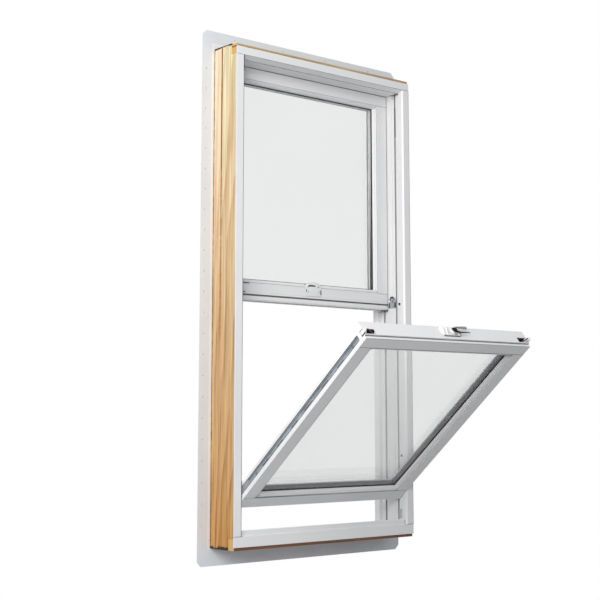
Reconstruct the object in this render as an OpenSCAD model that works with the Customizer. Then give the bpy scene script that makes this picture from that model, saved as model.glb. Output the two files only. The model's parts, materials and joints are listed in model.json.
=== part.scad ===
// Tilt-in double-hung sash window: pine frame lined and clad in white
// vinyl, nailing fin all round, two glazed sashes. The stored pose has
// the lower sash raised a little and leaned into the room.
// X runs along the width, Y from the room (-) to the outside (+), Z up.
// Lengths are in millimetres and angles in degrees.

/* [Frame] */
// Width over the outer faces of the pine side jambs.
frame_w = 651; // [560:1:900]
// Height of the pine side jambs.
frame_h = 1348; // [1150:1:1700]
// Depth of the pine from the room face to the fin.
frame_d = 104; // [100:1:130]
// Thickness of the pine side jambs.
jamb_t = 11.5; // [10:0.5:14]
// Width of the white face seen at each side.
face_w = 26; // [24.5:0.5:34]
// Thickness of the white facing over the pine.
facing_t = 3; // [2:0.5:5]
// Gap between the interior stops and the lower sash.
stop_gap = 0.6; // [0.5:0.1:1]
// Depth of the saw kerf in the outside of the side jambs.
kerf_d = 5; // [1:0.5:6]
// Width of the saw kerf.
kerf_w = 4; // [2:0.5:6]
// Distance of the saw kerf from the room face.
kerf_y = 68; // [45:1:80]
// Length of the saw kerf, down from the top of the jamb.
kerf_l = 345; // [100:5:1000]

/* [Head and sill] */
// Height of the head block seen at the front corners.
head_block_h = 32; // [26:1:42]
// Depth of the head and sill blocks at the front corners.
block_d = 27; // [22:1:34]
// Height of the side jambs above the head block.
head_low = 3; // [1:0.5:6]
// Height of bare pine left above the head facing.
bare_h = 7.5; // [3:0.5:10]
// Drop from the top of the jambs to the soffit over the sashes.
head_drop = 41; // [38:1:60]
// Height of the sill block seen at the front corners.
sill_block_h = 31; // [26:1:40]
// Height of the sash seat above the bottom of the frame.
seat_z = 52; // [50:1:70]
// Height of the sill stop in front of the lower sash.
tier_z = 50; // [42:1:50]

/* [Fin and cladding] */
// Reach of the cladding beyond the pine at the sides.
clad_side = 8.5; // [4:0.5:15]
// Reach of the cladding above the pine.
clad_top = 17; // [6:1:25]
// Reach of the cladding below the pine.
clad_foot = 3; // [1:1:12]
// Depth of the cladding outside the fin.
clad_d = 30; // [20:1:45]
// Width of the fin at the sides.
fin_side = 32; // [25:1:45]
// Width of the fin above the frame.
fin_top_w = 34; // [25:1:45]
// Width of the fin below the frame.
fin_foot_w = 43; // [25:1:50]
// Thickness of the fin.
fin_t = 2; // [1.2:0.2:3]
// Cut across each corner of the fin.
fin_cut = 13; // [6:1:18]
// Radius of the nail holes at the corners.
nail_r = 2.5; // [1.8:0.1:3]
// Radius of the other nail holes.
small_nail_r = 1.6; // [1.2:0.1:3]
// Distance between the nail holes up the sides.
nail_pitch = 56; // [40:1:90]
// Distance of the nail holes from the edge of the fin.
nail_edge = 12.5; // [9:0.5:16]

/* [Sashes] */
// Thickness of both sashes.
sash_t = 35; // [33:0.5:36]
// Gap between a sash and the stop on each side.
sash_gap = 2; // [1.5:0.5:4]
// Width of the sash stiles.
stile_w = 38; // [32:1:60]
// Height of the bottom rail of the lower sash.
bottom_rail_h = 40; // [34:1:80]
// Height of the check rail of the lower sash.
lower_check_h = 37; // [34:1:60]
// Height of the top rail of the upper sash.
top_rail_h = 31.5; // [28:0.5:60]
// Height of the check rail of the upper sash.
upper_check_h = 48; // [44:1:60]
// Depth of the lower check rail over its outward lip.
lip_d = 50; // [42:1:50.2]
// Distance that the two sashes lap at the check rails.
meet_lap = 53.5; // [50:0.5:60]
// How much taller the lower sash is than the upper one.
leaf_diff = 5.5; // [0:0.5:20]
// Gap between the lip and the upper sash.
pass_gap = 1; // [0.9:0.1:3]
// Width of the groove down the outer edge of the stiles.
edge_groove_w = 15; // [12:0.5:16]
// Depth of the groove down the outer edge of the stiles.
edge_groove_d = 8; // [6:0.5:12]

/* [Glazing] */
// Thickness of one pane.
pane_t = 3; // [2:0.5:4]
// Gap between the two panes.
pane_gap = 12; // [9:0.5:13]
// Width of the glazing bead.
bead_w = 11; // [8:0.5:14]
// Reach of the black gasket past the bead.
gasket_w = 0.8; // [0.5:0.1:4]
// Height of the spacer between the panes.
spacer_w = 7.8; // [5:0.2:12]

/* [Jamb liner] */
// Wall of the liner.
liner_wall = 1.8; // [1.2:0.1:2.2]
// Width of the slot that a pivot pin runs in.
slot_w = 7; // [6.6:0.1:9]
// Step of the rib between the two tracks.
rib_step = 1.7; // [0.8:0.1:2]

/* [Stored pose] */
// Height that the lower sash is raised above its seat.
lift = 66; // [40:1:300]
// Angle that the lower sash leans into the room.
tilt = 50; // [0:1:85]

/* [Hardware] */
// Radius of the pivot pins.
pin_r = 3; // [2.5:0.1:3.2]
// Clearance round the pivot pins and the lock spindle.
run_fit = 0.05; // [0.02:0.01:0.1]
// Distance of the lock from the middle of the sash.
lock_x = 6; // [-40:1:40]
// Length of the lock base.
lock_l = 68; // [56:1:90]
// Length of the lock handle from its spindle.
handle_l = 50; // [35:1:60]
// Height of the pivot above the bottom edge of a sash.
pivot_s = 5; // [4.5:0.5:12]

/* [Hidden] */
eps = 0.5;
gap = 0.3;
out_x = frame_w / 2;
in_x = out_x - jamb_t;
stop_x = out_x - face_w;
sash_x = stop_x - sash_gap;
block_x = out_x - 2;
board_x = in_x - gap;
soffit_z = frame_h - head_drop;
head_top_z = frame_h - head_low;
trim_top_z = head_top_z - bare_h;
trim_low_z = frame_h - head_block_h;
head_block_z = trim_low_z + gap;
trim_foot_z = 8;
trim_sill_z = sill_block_h + 4;
upper_y = frame_d - sash_t;
lower_y = upper_y - pass_gap - lip_d;
stop_d = lower_y - stop_gap;
back_y = frame_d - gap;
upper_top_z = soffit_z - 2;
leaf_h = (upper_top_z - seat_z + meet_lap + leaf_diff) / 2;
upper_h = leaf_h - leaf_diff;
upper_z = upper_top_z - upper_h;
pivot_d = sash_t / 2;
pivot_y = lower_y + pivot_d;
upper_pivot_y = upper_y + pivot_d;
rail_x = sash_x - stile_w;
lower_open_s = [bottom_rail_h, leaf_h - lower_check_h];
upper_open_s = [upper_check_h, upper_h - top_rail_h];
pane_d = 13.5;
glass_t = 2 * pane_t + pane_gap;
lip_back = pane_d + glass_t + gap;
pane_edge = 4.2;
spacer_in = pane_edge + 1;
pile_s = [14, 18.2];
pile_deep = 4;
clad_x = out_x + clad_side;
clad_top_z = frame_h + clad_top;
clad_in_x = sash_x - 6.5;
fin_x = clad_x + fin_side;
fin_top_z = clad_top_z + fin_top_w;
fin_low_z = -clad_foot - fin_foot_w;
nail_x = fin_x - nail_edge;
nail_n = floor((frame_h - 112) / nail_pitch);
nail_z0 = (frame_h - nail_n * nail_pitch) / 2;
org_z = frame_h / 2;
slope_z0 = seat_z - 13;
slope_z1 = seat_z - 25;
back_z = 18;
face_x = stop_x + 2.5;
rib_x = face_x - rib_step;
track_x = face_x + liner_wall;
wall_x = board_x - liner_wall;
track_1 = [stop_d + 0.5 + liner_wall, pivot_y + 14.5];
track_2 = [upper_pivot_y - 15, back_y - liner_wall];
rib_y = [pivot_y + 12.5, upper_pivot_y - 10.5];
shoe_x = [track_x + gap, wall_x - gap];
groove_d = [pivot_d - 5.5, pivot_d - 5.5 + edge_groove_w];
groove_top_s = leaf_h - 24;
housing_s = 84;
latch_d = pivot_d;
spindle_x = lock_x + 14;
spindle_d = 33;
spindle_r = 4;
guide_z = [seat_z + leaf_h - 48, seat_z + leaf_h - 15];

pine = [0.84, 0.68, 0.46];
white = [0.93, 0.93, 0.94];
vinyl = [0.9, 0.9, 0.88];
black = [0.08, 0.08, 0.09];
clear = [0.8, 0.88, 0.9, 0.35];
steel = [0.62, 0.63, 0.65];
grey = [0.55, 0.56, 0.57];

// Moves a shape drawn from the foot of the frame to the row's origin,
// the middle of the nail pattern on the fin.
module place() {
    translate([0, -frame_d, -org_z]) children();
}

// Places a shape drawn from the lower sash's bottom inner edge.
module in_lower() {
    place()
        translate([0, pivot_y, seat_z + pivot_s + lift])
            rotate([tilt, 0, 0])
                translate([0, -pivot_d, -pivot_s]) children();
}

// Places a shape drawn from the upper sash's bottom inner edge.
module in_upper() {
    place() translate([0, upper_y, upper_z]) children();
}

// A bar along X whose section is given as points in Y and Z.
module bar_x(x0, x1, pts) {
    translate([x0, 0, 0])
        rotate([90, 0, 90])
            linear_extrude(x1 - x0) polygon(pts);
}

// A plate across Y whose outline is given as points in X and Z.
module plate_y(y0, y1, pts) {
    translate([0, y1, 0])
        rotate([90, 0, 0])
            linear_extrude(y1 - y0) polygon(pts);
}

// A block between two corners.
module block(a, b) {
    translate(a) cube(b - a);
}

// A round bar along X.
module rod_x(x0, x1, y, z, r) {
    translate([x0, y, z])
        rotate([0, 90, 0])
            cylinder(r = r, h = x1 - x0, $fn = 48);
}

// A shape and its mirror image across the middle of the window.
module both() {
    children();
    mirror([1, 0, 0]) children();
}

// Four mitred bars round an opening. pts holds the section as distance
// into the opening and depth from the room side of the sash.
module ring(hx, s, w, pts) {
    h = s[1] - s[0];
    flat = [for (p = pts) [p[1], s[0] + p[0]]];
    flipped = [for (p = pts) [p[1], s[1] - p[0]]];
    side = [for (p = pts) [hx - p[0], p[1]]];
    deep = [-eps, sash_t + eps];
    intersection() {
        bar_x(-hx, hx, flat);
        plate_y(deep[0], deep[1], [[-hx, s[0]], [hx, s[0]],
            [hx - w, s[0] + w], [w - hx, s[0] + w]]);
    }
    intersection() {
        bar_x(-hx, hx, flipped);
        plate_y(deep[0], deep[1], [[-hx, s[1]], [hx, s[1]],
            [hx - w, s[1] - w], [w - hx, s[1] - w]]);
    }
    both()
        intersection() {
            translate([0, 0, s[0]]) linear_extrude(h) polygon(side);
            plate_y(deep[0], deep[1], [[hx, s[0]], [hx, s[1]],
                [hx - w, s[1] - w], [hx - w, s[0] + w]]);
        }
}

// ---- Frame ----

// One pine side jamb, with its saw kerf and its notches for the blocks.
module jamb() {
    place() color(pine)
        difference() {
            block([in_x, facing_t + 0.2, 0], [out_x, back_y, frame_h]);
            block([out_x - kerf_d, kerf_y - kerf_w / 2, frame_h - kerf_l],
                [out_x + eps, kerf_y + kerf_w / 2, frame_h + eps]);
            block([in_x - eps, 0, -eps],
                [out_x + eps, block_d + gap, sill_block_h + gap]);
            block([in_x - eps, 0, trim_low_z],
                [out_x + eps, block_d + gap, frame_h + eps]);
        }
}

module jamb_left() {
    mirror([1, 0, 0]) jamb();
}

module jamb_right() {
    jamb();
}

// The head: a block across the front and a board between the jambs.
module head_board() {
    place() color(pine) {
        block([-block_x, facing_t + 0.2, head_block_z],
            [block_x, block_d, head_top_z]);
        block([-board_x, block_d - eps, frame_h - back_z],
            [board_x, back_y, head_top_z]);
    }
}

// The sill: a block across the front and a board between the jambs.
module sill_board() {
    place() color(pine) {
        block([-block_x, facing_t + 0.2, 0],
            [block_x, block_d, sill_block_h]);
        block([-board_x, block_d - eps, 0], [board_x, back_y, back_z]);
    }
}

// White facing over the head, with the sloped head stop under it.
module head_trim() {
    place() color(white) {
        block([-out_x, 0, trim_low_z], [out_x, facing_t, trim_top_z]);
        bar_x(-stop_x + gap, stop_x - gap, [
            [0, trim_low_z], [stop_d, soffit_z + gap],
            [stop_d, trim_low_z], [facing_t, trim_low_z],
            [facing_t, trim_low_z + 2], [0, trim_low_z + 2]]);
    }
}

// One interior side stop, with its chamfered inner edge.
module side_stop() {
    place() color(white)
        translate([0, 0, trim_sill_z + gap])
            linear_extrude(trim_low_z - trim_sill_z - 2 * gap)
                polygon([[out_x, 0], [stop_x + 3.5, 0], [stop_x, 5],
                    [stop_x, stop_d], [in_x - gap, stop_d],
                    [in_x - gap, facing_t], [out_x, facing_t]]);
}

module stop_left() {
    mirror([1, 0, 0]) side_stop();
}

module stop_right() {
    side_stop();
}

// White sill facing, with the raised sill stop set back behind it.
module sill_trim() {
    base_z = sill_block_h + gap;
    place() color(white) {
        bar_x(-out_x, out_x, [
            [0, trim_foot_z], [0, trim_sill_z], [facing_t, trim_sill_z],
            [facing_t, trim_foot_z]]);
        block([-board_x, facing_t - eps, base_z],
            [board_x, stop_d, trim_sill_z]);
        bar_x(-stop_x + 0.7, stop_x - 0.7, [
            [8, trim_sill_z - 1], [8, tier_z - 2], [9.5, tier_z],
            [12, tier_z], [stop_d, tier_z - 5],
            [stop_d, trim_sill_z - 1]]);
    }
}

// One vinyl jamb liner with a track for each sash.
module liner() {
    pl = [pivot_y - slot_w / 2, pivot_y + slot_w / 2];
    pu = [upper_pivot_y - slot_w / 2, upper_pivot_y + slot_w / 2];
    y0 = stop_d + 0.5;
    place() color(vinyl)
        difference() {
            linear_extrude(soffit_z - gap) polygon([
                [board_x, y0], [face_x, y0], [face_x, pl[0]],
                [track_x, pl[0]], [track_x, track_1[0]],
                [wall_x, track_1[0]], [wall_x, track_1[1]],
                [track_x, track_1[1]], [track_x, pl[1]],
                [face_x, pl[1]], [face_x, rib_y[0]], [rib_x, rib_y[0]],
                [rib_x, rib_y[1]], [face_x, rib_y[1]], [face_x, pu[0]],
                [track_x, pu[0]], [track_x, track_2[0]],
                [wall_x, track_2[0]], [wall_x, track_2[1]],
                [track_x, track_2[1]], [track_x, pu[1]],
                [face_x, pu[1]], [face_x, back_y], [board_x, back_y]]);
            bar_x(rib_x - 5, board_x + 5, [
                [y0 - 5, -eps], [y0 - 5, slope_at(y0 - 5) + gap],
                [back_y + 5, slope_at(back_y + 5) + gap],
                [back_y + 5, -eps]]);
            block([rib_x - 1, y0 + 1.6, seat_z - 1],
                [track_x + 0.1, pl[0] - 1, seat_z + 24]);
            block([rib_x - 1, track_2[0] + 0.6, 175],
                [track_x + 0.1, track_2[0] + 3.4, 215]);
            rod_x(rib_x - 2, track_x + 1, y0 + 6, screw_z(), 1.8);
            rod_x(rib_x - 2, track_x + 1, y0 + 6, screw_low(), 1.8);
        }
}

// Height of the sub-sill's sloping top at a depth.
function slope_at(y) =
    slope_z0 + (slope_z1 - slope_z0) * (y - stop_d) / (back_y - stop_d);

// Heights of the screws through each liner.
function screw_z() = seat_z + leaf_h - 37;
function screw_low() = seat_z + 180;

module liner_left() {
    mirror([1, 0, 0]) liner();
}

module liner_right() {
    liner();
}

// Vinyl soffit between the head stop and the fin.
module head_liner() {
    top = frame_h - back_z - gap;
    web_y = [max(block_d, stop_d) + 1.5, max(block_d, stop_d) + 6];
    place() color(vinyl)
        difference() {
            bar_x(-board_x, board_x, [
                [stop_d + 0.4, soffit_z], [back_y, soffit_z],
                [back_y, top], [back_y - 4, top],
                [back_y - 4, soffit_z + 6], [web_y[1], soffit_z + 6],
                [web_y[1], top], [web_y[0], top],
                [web_y[0], soffit_z + 6],
                [stop_d + 0.4, soffit_z + 6]]);
            both()
                block([sash_x - 1.5, 0, 0],
                    [board_x + 1, track_1[1] + 2, frame_h]);
        }
}

// Sloping vinyl sub-sill under the sashes.
module sub_sill() {
    y0 = stop_d + 0.4;
    place() color(vinyl)
        bar_x(-board_x, board_x, [
            [y0, sill_block_h + gap], [y0, slope_at(y0)],
            [back_y, slope_at(back_y)], [back_y, back_z + gap],
            [block_d + gap, back_z + gap],
            [block_d + gap, sill_block_h + gap]]);
}

// One side of the vinyl cladding outside the fin.
module cladding_side() {
    z0 = back_z + 2 + gap;
    place() color(vinyl)
        translate([0, 0, z0])
            linear_extrude(soffit_z - 7 - gap - z0)
                polygon([[clad_in_x, frame_d], [clad_x, frame_d],
                    [clad_x, frame_d + clad_d - 3],
                    [clad_x - 3, frame_d + clad_d],
                    [clad_in_x + 9, frame_d + clad_d],
                    [clad_in_x + 9, frame_d + 14],
                    [clad_in_x, frame_d + 14]]);
}

module cladding_left() {
    mirror([1, 0, 0]) cladding_side();
}

module cladding_right() {
    cladding_side();
}

// Head of the cladding.
module cladding_head() {
    place() color(vinyl)
        bar_x(-clad_x, clad_x, [
            [frame_d, soffit_z - 7], [frame_d + 14, soffit_z - 7],
            [frame_d + 14, soffit_z + 2], [frame_d + clad_d, soffit_z + 2],
            [frame_d + clad_d, clad_top_z - 4],
            [frame_d + clad_d - 5, clad_top_z], [frame_d, clad_top_z]]);
}

// Nosing of the cladding under the sill.
module cladding_sill() {
    place() color(vinyl)
        bar_x(-clad_x, clad_x, [
            [frame_d, -clad_foot], [frame_d, back_z + 2],
            [frame_d + clad_d - 6, back_z + 2],
            [frame_d + clad_d + 4, back_z - 3],
            [frame_d + clad_d + 4, 0], [frame_d + clad_d, 0],
            [frame_d + clad_d, -clad_foot]]);
}

// One strip of the fin between outline points, with its nail holes.
// Each hole is given as X, Z and radius.
module fin_strip(pts, holes) {
    place() color(vinyl)
        translate([0, frame_d + fin_t, 0])
            rotate([90, 0, 0])
                linear_extrude(fin_t)
                    difference() {
                        polygon(pts);
                        for (p = holes)
                            translate([p[0], p[1]])
                                circle(r = p[2], $fn = 40);
                    }
}

// Outline of the right fin strip, mitred to its neighbours.
function fin_side_pts(sx) = [
    [sx * clad_x, -clad_foot],
    [sx * (fin_x - fin_cut / 2), fin_low_z + fin_cut / 2],
    [sx * fin_x, fin_low_z + fin_cut],
    [sx * fin_x, fin_top_z - fin_cut],
    [sx * (fin_x - fin_cut / 2), fin_top_z - fin_cut / 2],
    [sx * clad_x, clad_top_z]];

// Outline of a fin strip across the top or the bottom.
function fin_across_pts(z_in, z_out, dir) = [
    [-clad_x, z_in],
    [-(fin_x - fin_cut / 2), z_out - dir * fin_cut / 2],
    [-(fin_x - fin_cut), z_out],
    [fin_x - fin_cut, z_out],
    [fin_x - fin_cut / 2, z_out - dir * fin_cut / 2],
    [clad_x, z_in]];

// Nail holes up one side, larger at both ends.
function side_holes(sx) =
    [for (i = [0:nail_n]) [sx * nail_x, nail_z0 + i * nail_pitch,
        i == 0 || i == nail_n ? nail_r : small_nail_r]];

// Nail holes across the top or the bottom.
function across_holes(z) =
    [for (k = [-0.73, -0.23, 0.23, 0.73])
        [k * (nail_x - 3), z, small_nail_r]];

module fin_left() {
    fin_strip(fin_side_pts(-1), side_holes(-1));
}

module fin_right() {
    fin_strip(fin_side_pts(1), side_holes(1));
}

module fin_top() {
    fin_strip(fin_across_pts(clad_top_z, fin_top_z, 1),
        across_holes(fin_top_z - nail_edge));
}

module fin_bottom() {
    fin_strip(fin_across_pts(-clad_foot, fin_low_z, -1),
        across_holes(fin_low_z + nail_edge));
}

// Black seal under the soffit, over the upper sash.
module head_seal() {
    place() color(black)
        block([-sash_x, upper_y + 1, upper_top_z + gap],
            [sash_x, upper_y + 7, soffit_z]);
}

// Pan-head screws that hold the liners.
module liner_screws() {
    y = stop_d + 6.5;
    place() color(steel)
        both()
            for (z = [screw_z(), screw_low()]) {
                rod_x(face_x - 1.1, face_x, y, z, 3);
                rod_x(face_x - eps, track_x + 0.2, y, z, 1.7);
            }
}

// Grey guide pads on the liners beside the check rails.
module meeting_guides() {
    x = [sash_x + 0.8, face_x];
    y = [pivot_y + slot_w / 2 + 0.5, rib_y[0] - 0.2];
    place() color(grey)
        both() {
            block([x[0], y[0], guide_z[0]], [x[1], y[1], guide_z[1]]);
            block([x[0], y[1] - eps, guide_z[0]],
                [rib_x, upper_y - 4, guide_z[1]]);
        }
}

// Spring balance cases at the top of the four tracks.
module balance_cases() {
    z = [soffit_z - 130, soffit_z - 40];
    place() color(steel)
        both() {
            block([track_x + 2.5, track_1[0] + gap, z[0]],
                [shoe_x[1], track_1[1] - gap, z[1]]);
            block([shoe_x[0], track_2[0] + gap, z[0]],
                [shoe_x[1], track_2[1] - gap, z[1]]);
        }
}

// ---- Parts common to both sashes ----

// The two stiles between the rails, with the groove down each edge.
module stiles(s) {
    color(white)
        both()
            translate([0, 0, s[0]])
                linear_extrude(s[1] - s[0])
                    polygon([[rail_x, 0], [sash_x, 0],
                        [sash_x, groove_d[0]],
                        [sash_x - edge_groove_d, groove_d[0]],
                        [sash_x - edge_groove_d, groove_d[1]],
                        [sash_x, groove_d[1]], [sash_x, sash_t],
                        [rail_x, sash_t]]);
    color(white)
        both()
            block([rail_x - 14, lip_back, s[0] + 14],
                [rail_x + eps, sash_t, s[1] - 14]);
}

// Cuts for the edge groove at both ends of a rail.
module groove_ends(s0, s1) {
    both()
        block([sash_x - edge_groove_d, groove_d[0], s0],
            [sash_x + eps, groove_d[1], s1]);
}

// Mitred glazing beads, with a groove where they meet the rails.
module beads(s) {
    color(white)
        ring(rail_x, s, bead_w, [
            [0.2, 4], [1.8, 4], [2.6, 1], [4.2, 1], [5.2, 2.6],
            [bead_w - 2.5, 4.6], [bead_w, 9.5], [bead_w, pane_d - gap],
            [0.2, pane_d - gap]]);
}

// Black gasket between the beads and the glass.
module gasket(s) {
    w = bead_w + gasket_w;
    color(black)
        ring(rail_x, s, w, [
            [bead_w + 0.1, 11.5], [w, 12], [w, pane_d - 0.1],
            [bead_w + 0.1, pane_d - 0.1]]);
}

// The two panes.
module panes(s) {
    x = rail_x - pane_edge;
    color(clear)
        for (d = [pane_d, pane_d + pane_t + pane_gap])
            block([-x, d, s[0] + pane_edge],
                [x, d + pane_t, s[1] - pane_edge]);
}

// Spacer bars between the panes.
module spacer(s) {
    d = [pane_d + pane_t + 0.05, pane_d + pane_t + pane_gap - 0.05];
    w = spacer_in + spacer_w;
    color(grey)
        ring(rail_x, s, w, [
            [spacer_in, d[0]], [w, d[0]], [w, d[1]], [spacer_in, d[1]]]);
}

// Channel strips in the edge grooves.
module edge_strips(s0, s1) {
    x = [sash_x - edge_groove_d + gap, sash_x - 3.5];
    color(grey)
        both()
            translate([0, 0, s0])
                linear_extrude(s1 - s0)
                    polygon([[x[0], groove_d[0] + gap],
                        [x[1], groove_d[0] + gap],
                        [x[1], groove_d[0] + 2],
                        [x[0] + 1.6, groove_d[0] + 2],
                        [x[0] + 1.6, groove_d[1] - 2],
                        [x[1], groove_d[1] - 2],
                        [x[1], groove_d[1] - gap],
                        [x[0], groove_d[1] - gap]]);
}

// Pivot housings in the edge grooves, each with its pin.
module pivots() {
    x = [sash_x - edge_groove_d + gap, sash_x - 0.4];
    color(grey)
        both() {
            block([x[0], groove_d[0] + gap, 0.8],
                [x[1], groove_d[1] - gap, housing_s]);
            rod_x(x[1] - eps, shoe_x[1] - 1, pivot_d, pivot_s, pin_r);
        }
}

// The shoes that carry the pivot pins in the tracks.
module shoes(y, track, z) {
    place() color(grey)
        both()
            difference() {
                block([shoe_x[0], track[0] + gap, z - 16],
                    [shoe_x[1], track[1] - gap, z + 24]);
                rod_x(shoe_x[0] - 1, shoe_x[1] + 1, y, z,
                    pin_r + run_fit);
            }
}

// ---- Upper sash ----

module upper_top_rail() {
    s = upper_open_s[1];
    in_upper() color(white)
        difference() {
            union() {
                block([-sash_x, 0, s], [sash_x, sash_t, upper_h]);
                block([-rail_x, lip_back, s - 14],
                    [rail_x, sash_t, s + eps]);
            }
            groove_ends(s - eps, upper_h + eps);
        }
}

// Check rail of the upper sash: a groove for the pile strip across its
// face, a shallow bead over it and a chamfer under it.
module upper_check_rail() {
    s = upper_open_s[0];
    in_upper() color(white)
        difference() {
            union() {
                bar_x(-sash_x, sash_x, [
                    [3, 0], [0, 4], [0, pile_s[0] - gap],
                    [pile_deep, pile_s[0] - gap],
                    [pile_deep, pile_s[1] + gap], [0, pile_s[1] + gap],
                    [0, 21.5], [1.2, 22.3], [1.2, 23.5], [0, 24],
                    [0, s], [sash_t, s], [sash_t, 0]]);
                block([-rail_x, lip_back, s - eps],
                    [rail_x, sash_t, s + 14]);
            }
            groove_ends(-eps, s + eps);
            block([lock_x - 29, -eps, 24], [lock_x + 29, 3.2, s + eps]);
            for (dx = [-20, 20])
                translate([lock_x + dx, 15, 38])
                    rotate([90, 0, 0])
                        cylinder(r = 1.6, h = 16, $fn = 32);
        }
}

// Pile strip in the groove of the upper check rail.
module upper_pile() {
    in_upper() color(black)
        block([-sash_x + 4, 1, pile_s[0]],
            [sash_x - 4, pile_deep, pile_s[1]]);
}

module upper_stiles() {
    in_upper() stiles(upper_open_s);
}

module upper_beads() {
    in_upper()
        difference() {
            beads(upper_open_s);
            block([lock_x - 29.5, -eps, upper_check_h - eps],
                [lock_x + 29.5, pane_d, upper_check_h + bead_w + eps]);
        }
}

module upper_gasket() {
    in_upper() gasket(upper_open_s);
}

module upper_panes() {
    in_upper() panes(upper_open_s);
}

module upper_spacer() {
    in_upper() spacer(upper_open_s);
}

module upper_edge_strips() {
    in_upper() edge_strips(housing_s + eps, upper_h - 1);
}

module upper_pivots() {
    in_upper() pivots();
}

module upper_shoes() {
    shoes(upper_pivot_y, track_2, upper_z + pivot_s);
}

// Black pads under and beside the ends of the upper check rail.
module upper_end_pads() {
    in_upper() color(black)
        both() {
            block([sash_x - 17, 0.5, -2.2], [sash_x + 1.3, 11, -0.1]);
            block([sash_x + 0.1, 0.5, -1], [sash_x + 1.3, 11, 20]);
        }
}

// Keeper let into the upper check rail, with the mouth for the cam at
// the height that the lock has when the sashes meet.
module keeper() {
    s = upper_check_h;
    mouth = [meet_lap + 1.5, meet_lap + 8.5];
    in_upper() color(vinyl)
        difference() {
            union() {
                block([lock_x - 28.5, gap, 24.3],
                    [lock_x + 28.5, 3, s + 2]);
                bar_x(lock_x - 28.5, lock_x + 28.5, [
                    [gap, s + gap], [gap, mouth[1] + 1.5],
                    [3, mouth[1] + 3], [10.5, mouth[1] + 3],
                    [10.5, s + gap]]);
            }
            block([lock_x - 4, -eps, mouth[0]],
                [lock_x + 24.5, 9, mouth[1]]);
            for (dx = [-20, 20])
                translate([lock_x + dx, 4, 38])
                    rotate([90, 0, 0])
                        cylinder(r = 1.8, h = 5, $fn = 32);
        }
}

module keeper_screws() {
    in_upper() color(steel)
        for (dx = [-20, 20]) {
            translate([lock_x + dx, 0.3, 38])
                rotate([90, 0, 0])
                    cylinder(r = 3, h = 0.5, $fn = 32);
            translate([lock_x + dx, 13, 38])
                rotate([90, 0, 0])
                    cylinder(r = 1.5, h = 13, $fn = 32);
        }
}

// ---- Lower sash ----

module lower_shoes() {
    shoes(pivot_y, track_1, seat_z + pivot_s + lift);
}

module lower_bottom_rail() {
    s = lower_open_s[0];
    in_lower() color(white)
        difference() {
            union() {
                block([-sash_x, 0, 0], [sash_x, sash_t, s]);
                block([-rail_x, lip_back, s - eps],
                    [rail_x, sash_t, s + 14]);
            }
            groove_ends(-eps, s + eps);
        }
}

// Check rail of the lower sash, with its lip and latch pockets.
module lower_check_rail() {
    s = lower_open_s[1];
    in_lower() color(white)
        difference() {
            union() {
                bar_x(-sash_x, sash_x, [
                    [0, s], [0, leaf_h - 5], [9, leaf_h - 5],
                    [9, leaf_h], [lip_d, leaf_h], [lip_d, leaf_h - 7],
                    [sash_t, leaf_h - 33], [sash_t, s]]);
                block([-rail_x, lip_back, s - 14],
                    [rail_x, sash_t, s + eps]);
            }
            groove_ends(s - eps, groove_top_s);
            both()
                block([sash_x - 39, latch_d - 6.5, leaf_h - 13],
                    [sash_x + eps, latch_d + 9.5, leaf_h + eps]);
            for (dx = [-27, 27])
                translate([lock_x + dx, spindle_d, leaf_h - 14])
                    cylinder(r = 1.6, h = 15, $fn = 32);
        }
}

module lower_stiles() {
    in_lower() stiles(lower_open_s);
}

module lower_beads() {
    in_lower() beads(lower_open_s);
}

module lower_gasket() {
    in_lower() gasket(lower_open_s);
}

module lower_panes() {
    in_lower() panes(lower_open_s);
}

module lower_spacer() {
    in_lower() spacer(lower_open_s);
}

module lower_edge_strips() {
    in_lower() edge_strips(housing_s + eps, groove_top_s - 0.5);
}

module lower_pivots() {
    in_lower() pivots();
}

// Black bulb seal under the bottom rail.
module sill_seal() {
    in_lower() color(black)
        bar_x(-sash_x + 1, sash_x - 1, [
            [20, -0.02], [19, -4], [19.5, -9], [22, -11.5],
            [25, -11.5], [27.5, -9], [28, -4], [27, -0.02]]);
}

// Pile strip along the outward face of the lip.
module check_seal() {
    in_lower() color(black)
        block([-sash_x + 8, lip_d + 0.05, leaf_h - 6],
            [sash_x - 8, lip_d + pass_gap - gap, leaf_h - 2]);
}

// Fixed trays that the latches slide in.
module latch_housings() {
    d = [latch_d - 6.2, latch_d - 3.6, latch_d + 3.6, latch_d + 9.2];
    s = [leaf_h - 12.7, leaf_h - 11.9, leaf_h - 2];
    in_lower() color(grey)
        both()
            bar_x(sash_x - 38.7, sash_x - 0.3, [
                [d[0], s[0]], [d[3], s[0]], [d[3], s[2]], [d[2], s[2]],
                [d[2], s[1]], [d[1], s[1]], [d[1], s[2]],
                [d[0], s[2]]]);
}

// Lock base: a plate, a ridged block beside the cam and a low boss.
module lock_base() {
    x0 = lock_x - lock_l / 2;
    x1 = lock_x + lock_l / 2;
    in_lower() color(vinyl)
        difference() {
            union() {
                translate([0, 0, leaf_h + 0.03])
                    linear_extrude(2.5)
                        polygon([[x0, 24], [x0 + 6, 18], [x1 - 6, 18],
                            [x1, 24], [x1, 42], [x1 - 5, 47],
                            [x0 + 5, 47], [x0, 42]]);
                bar_x(x0 + 2, x0 + 24, [
                    [19, leaf_h + 2], [19, leaf_h + 4],
                    [24, leaf_h + 7.2], [41, leaf_h + 7.2],
                    [45, leaf_h + 4.5], [45, leaf_h + 2]]);
            }
            translate([spindle_x, spindle_d, leaf_h - 1])
                cylinder(r = spindle_r + run_fit, h = 6, $fn = 64);
            for (dx = [-27, 27])
                translate([lock_x + dx, spindle_d, leaf_h - 1])
                    cylinder(r = 2, h = 12, $fn = 32);
        }
}

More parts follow.
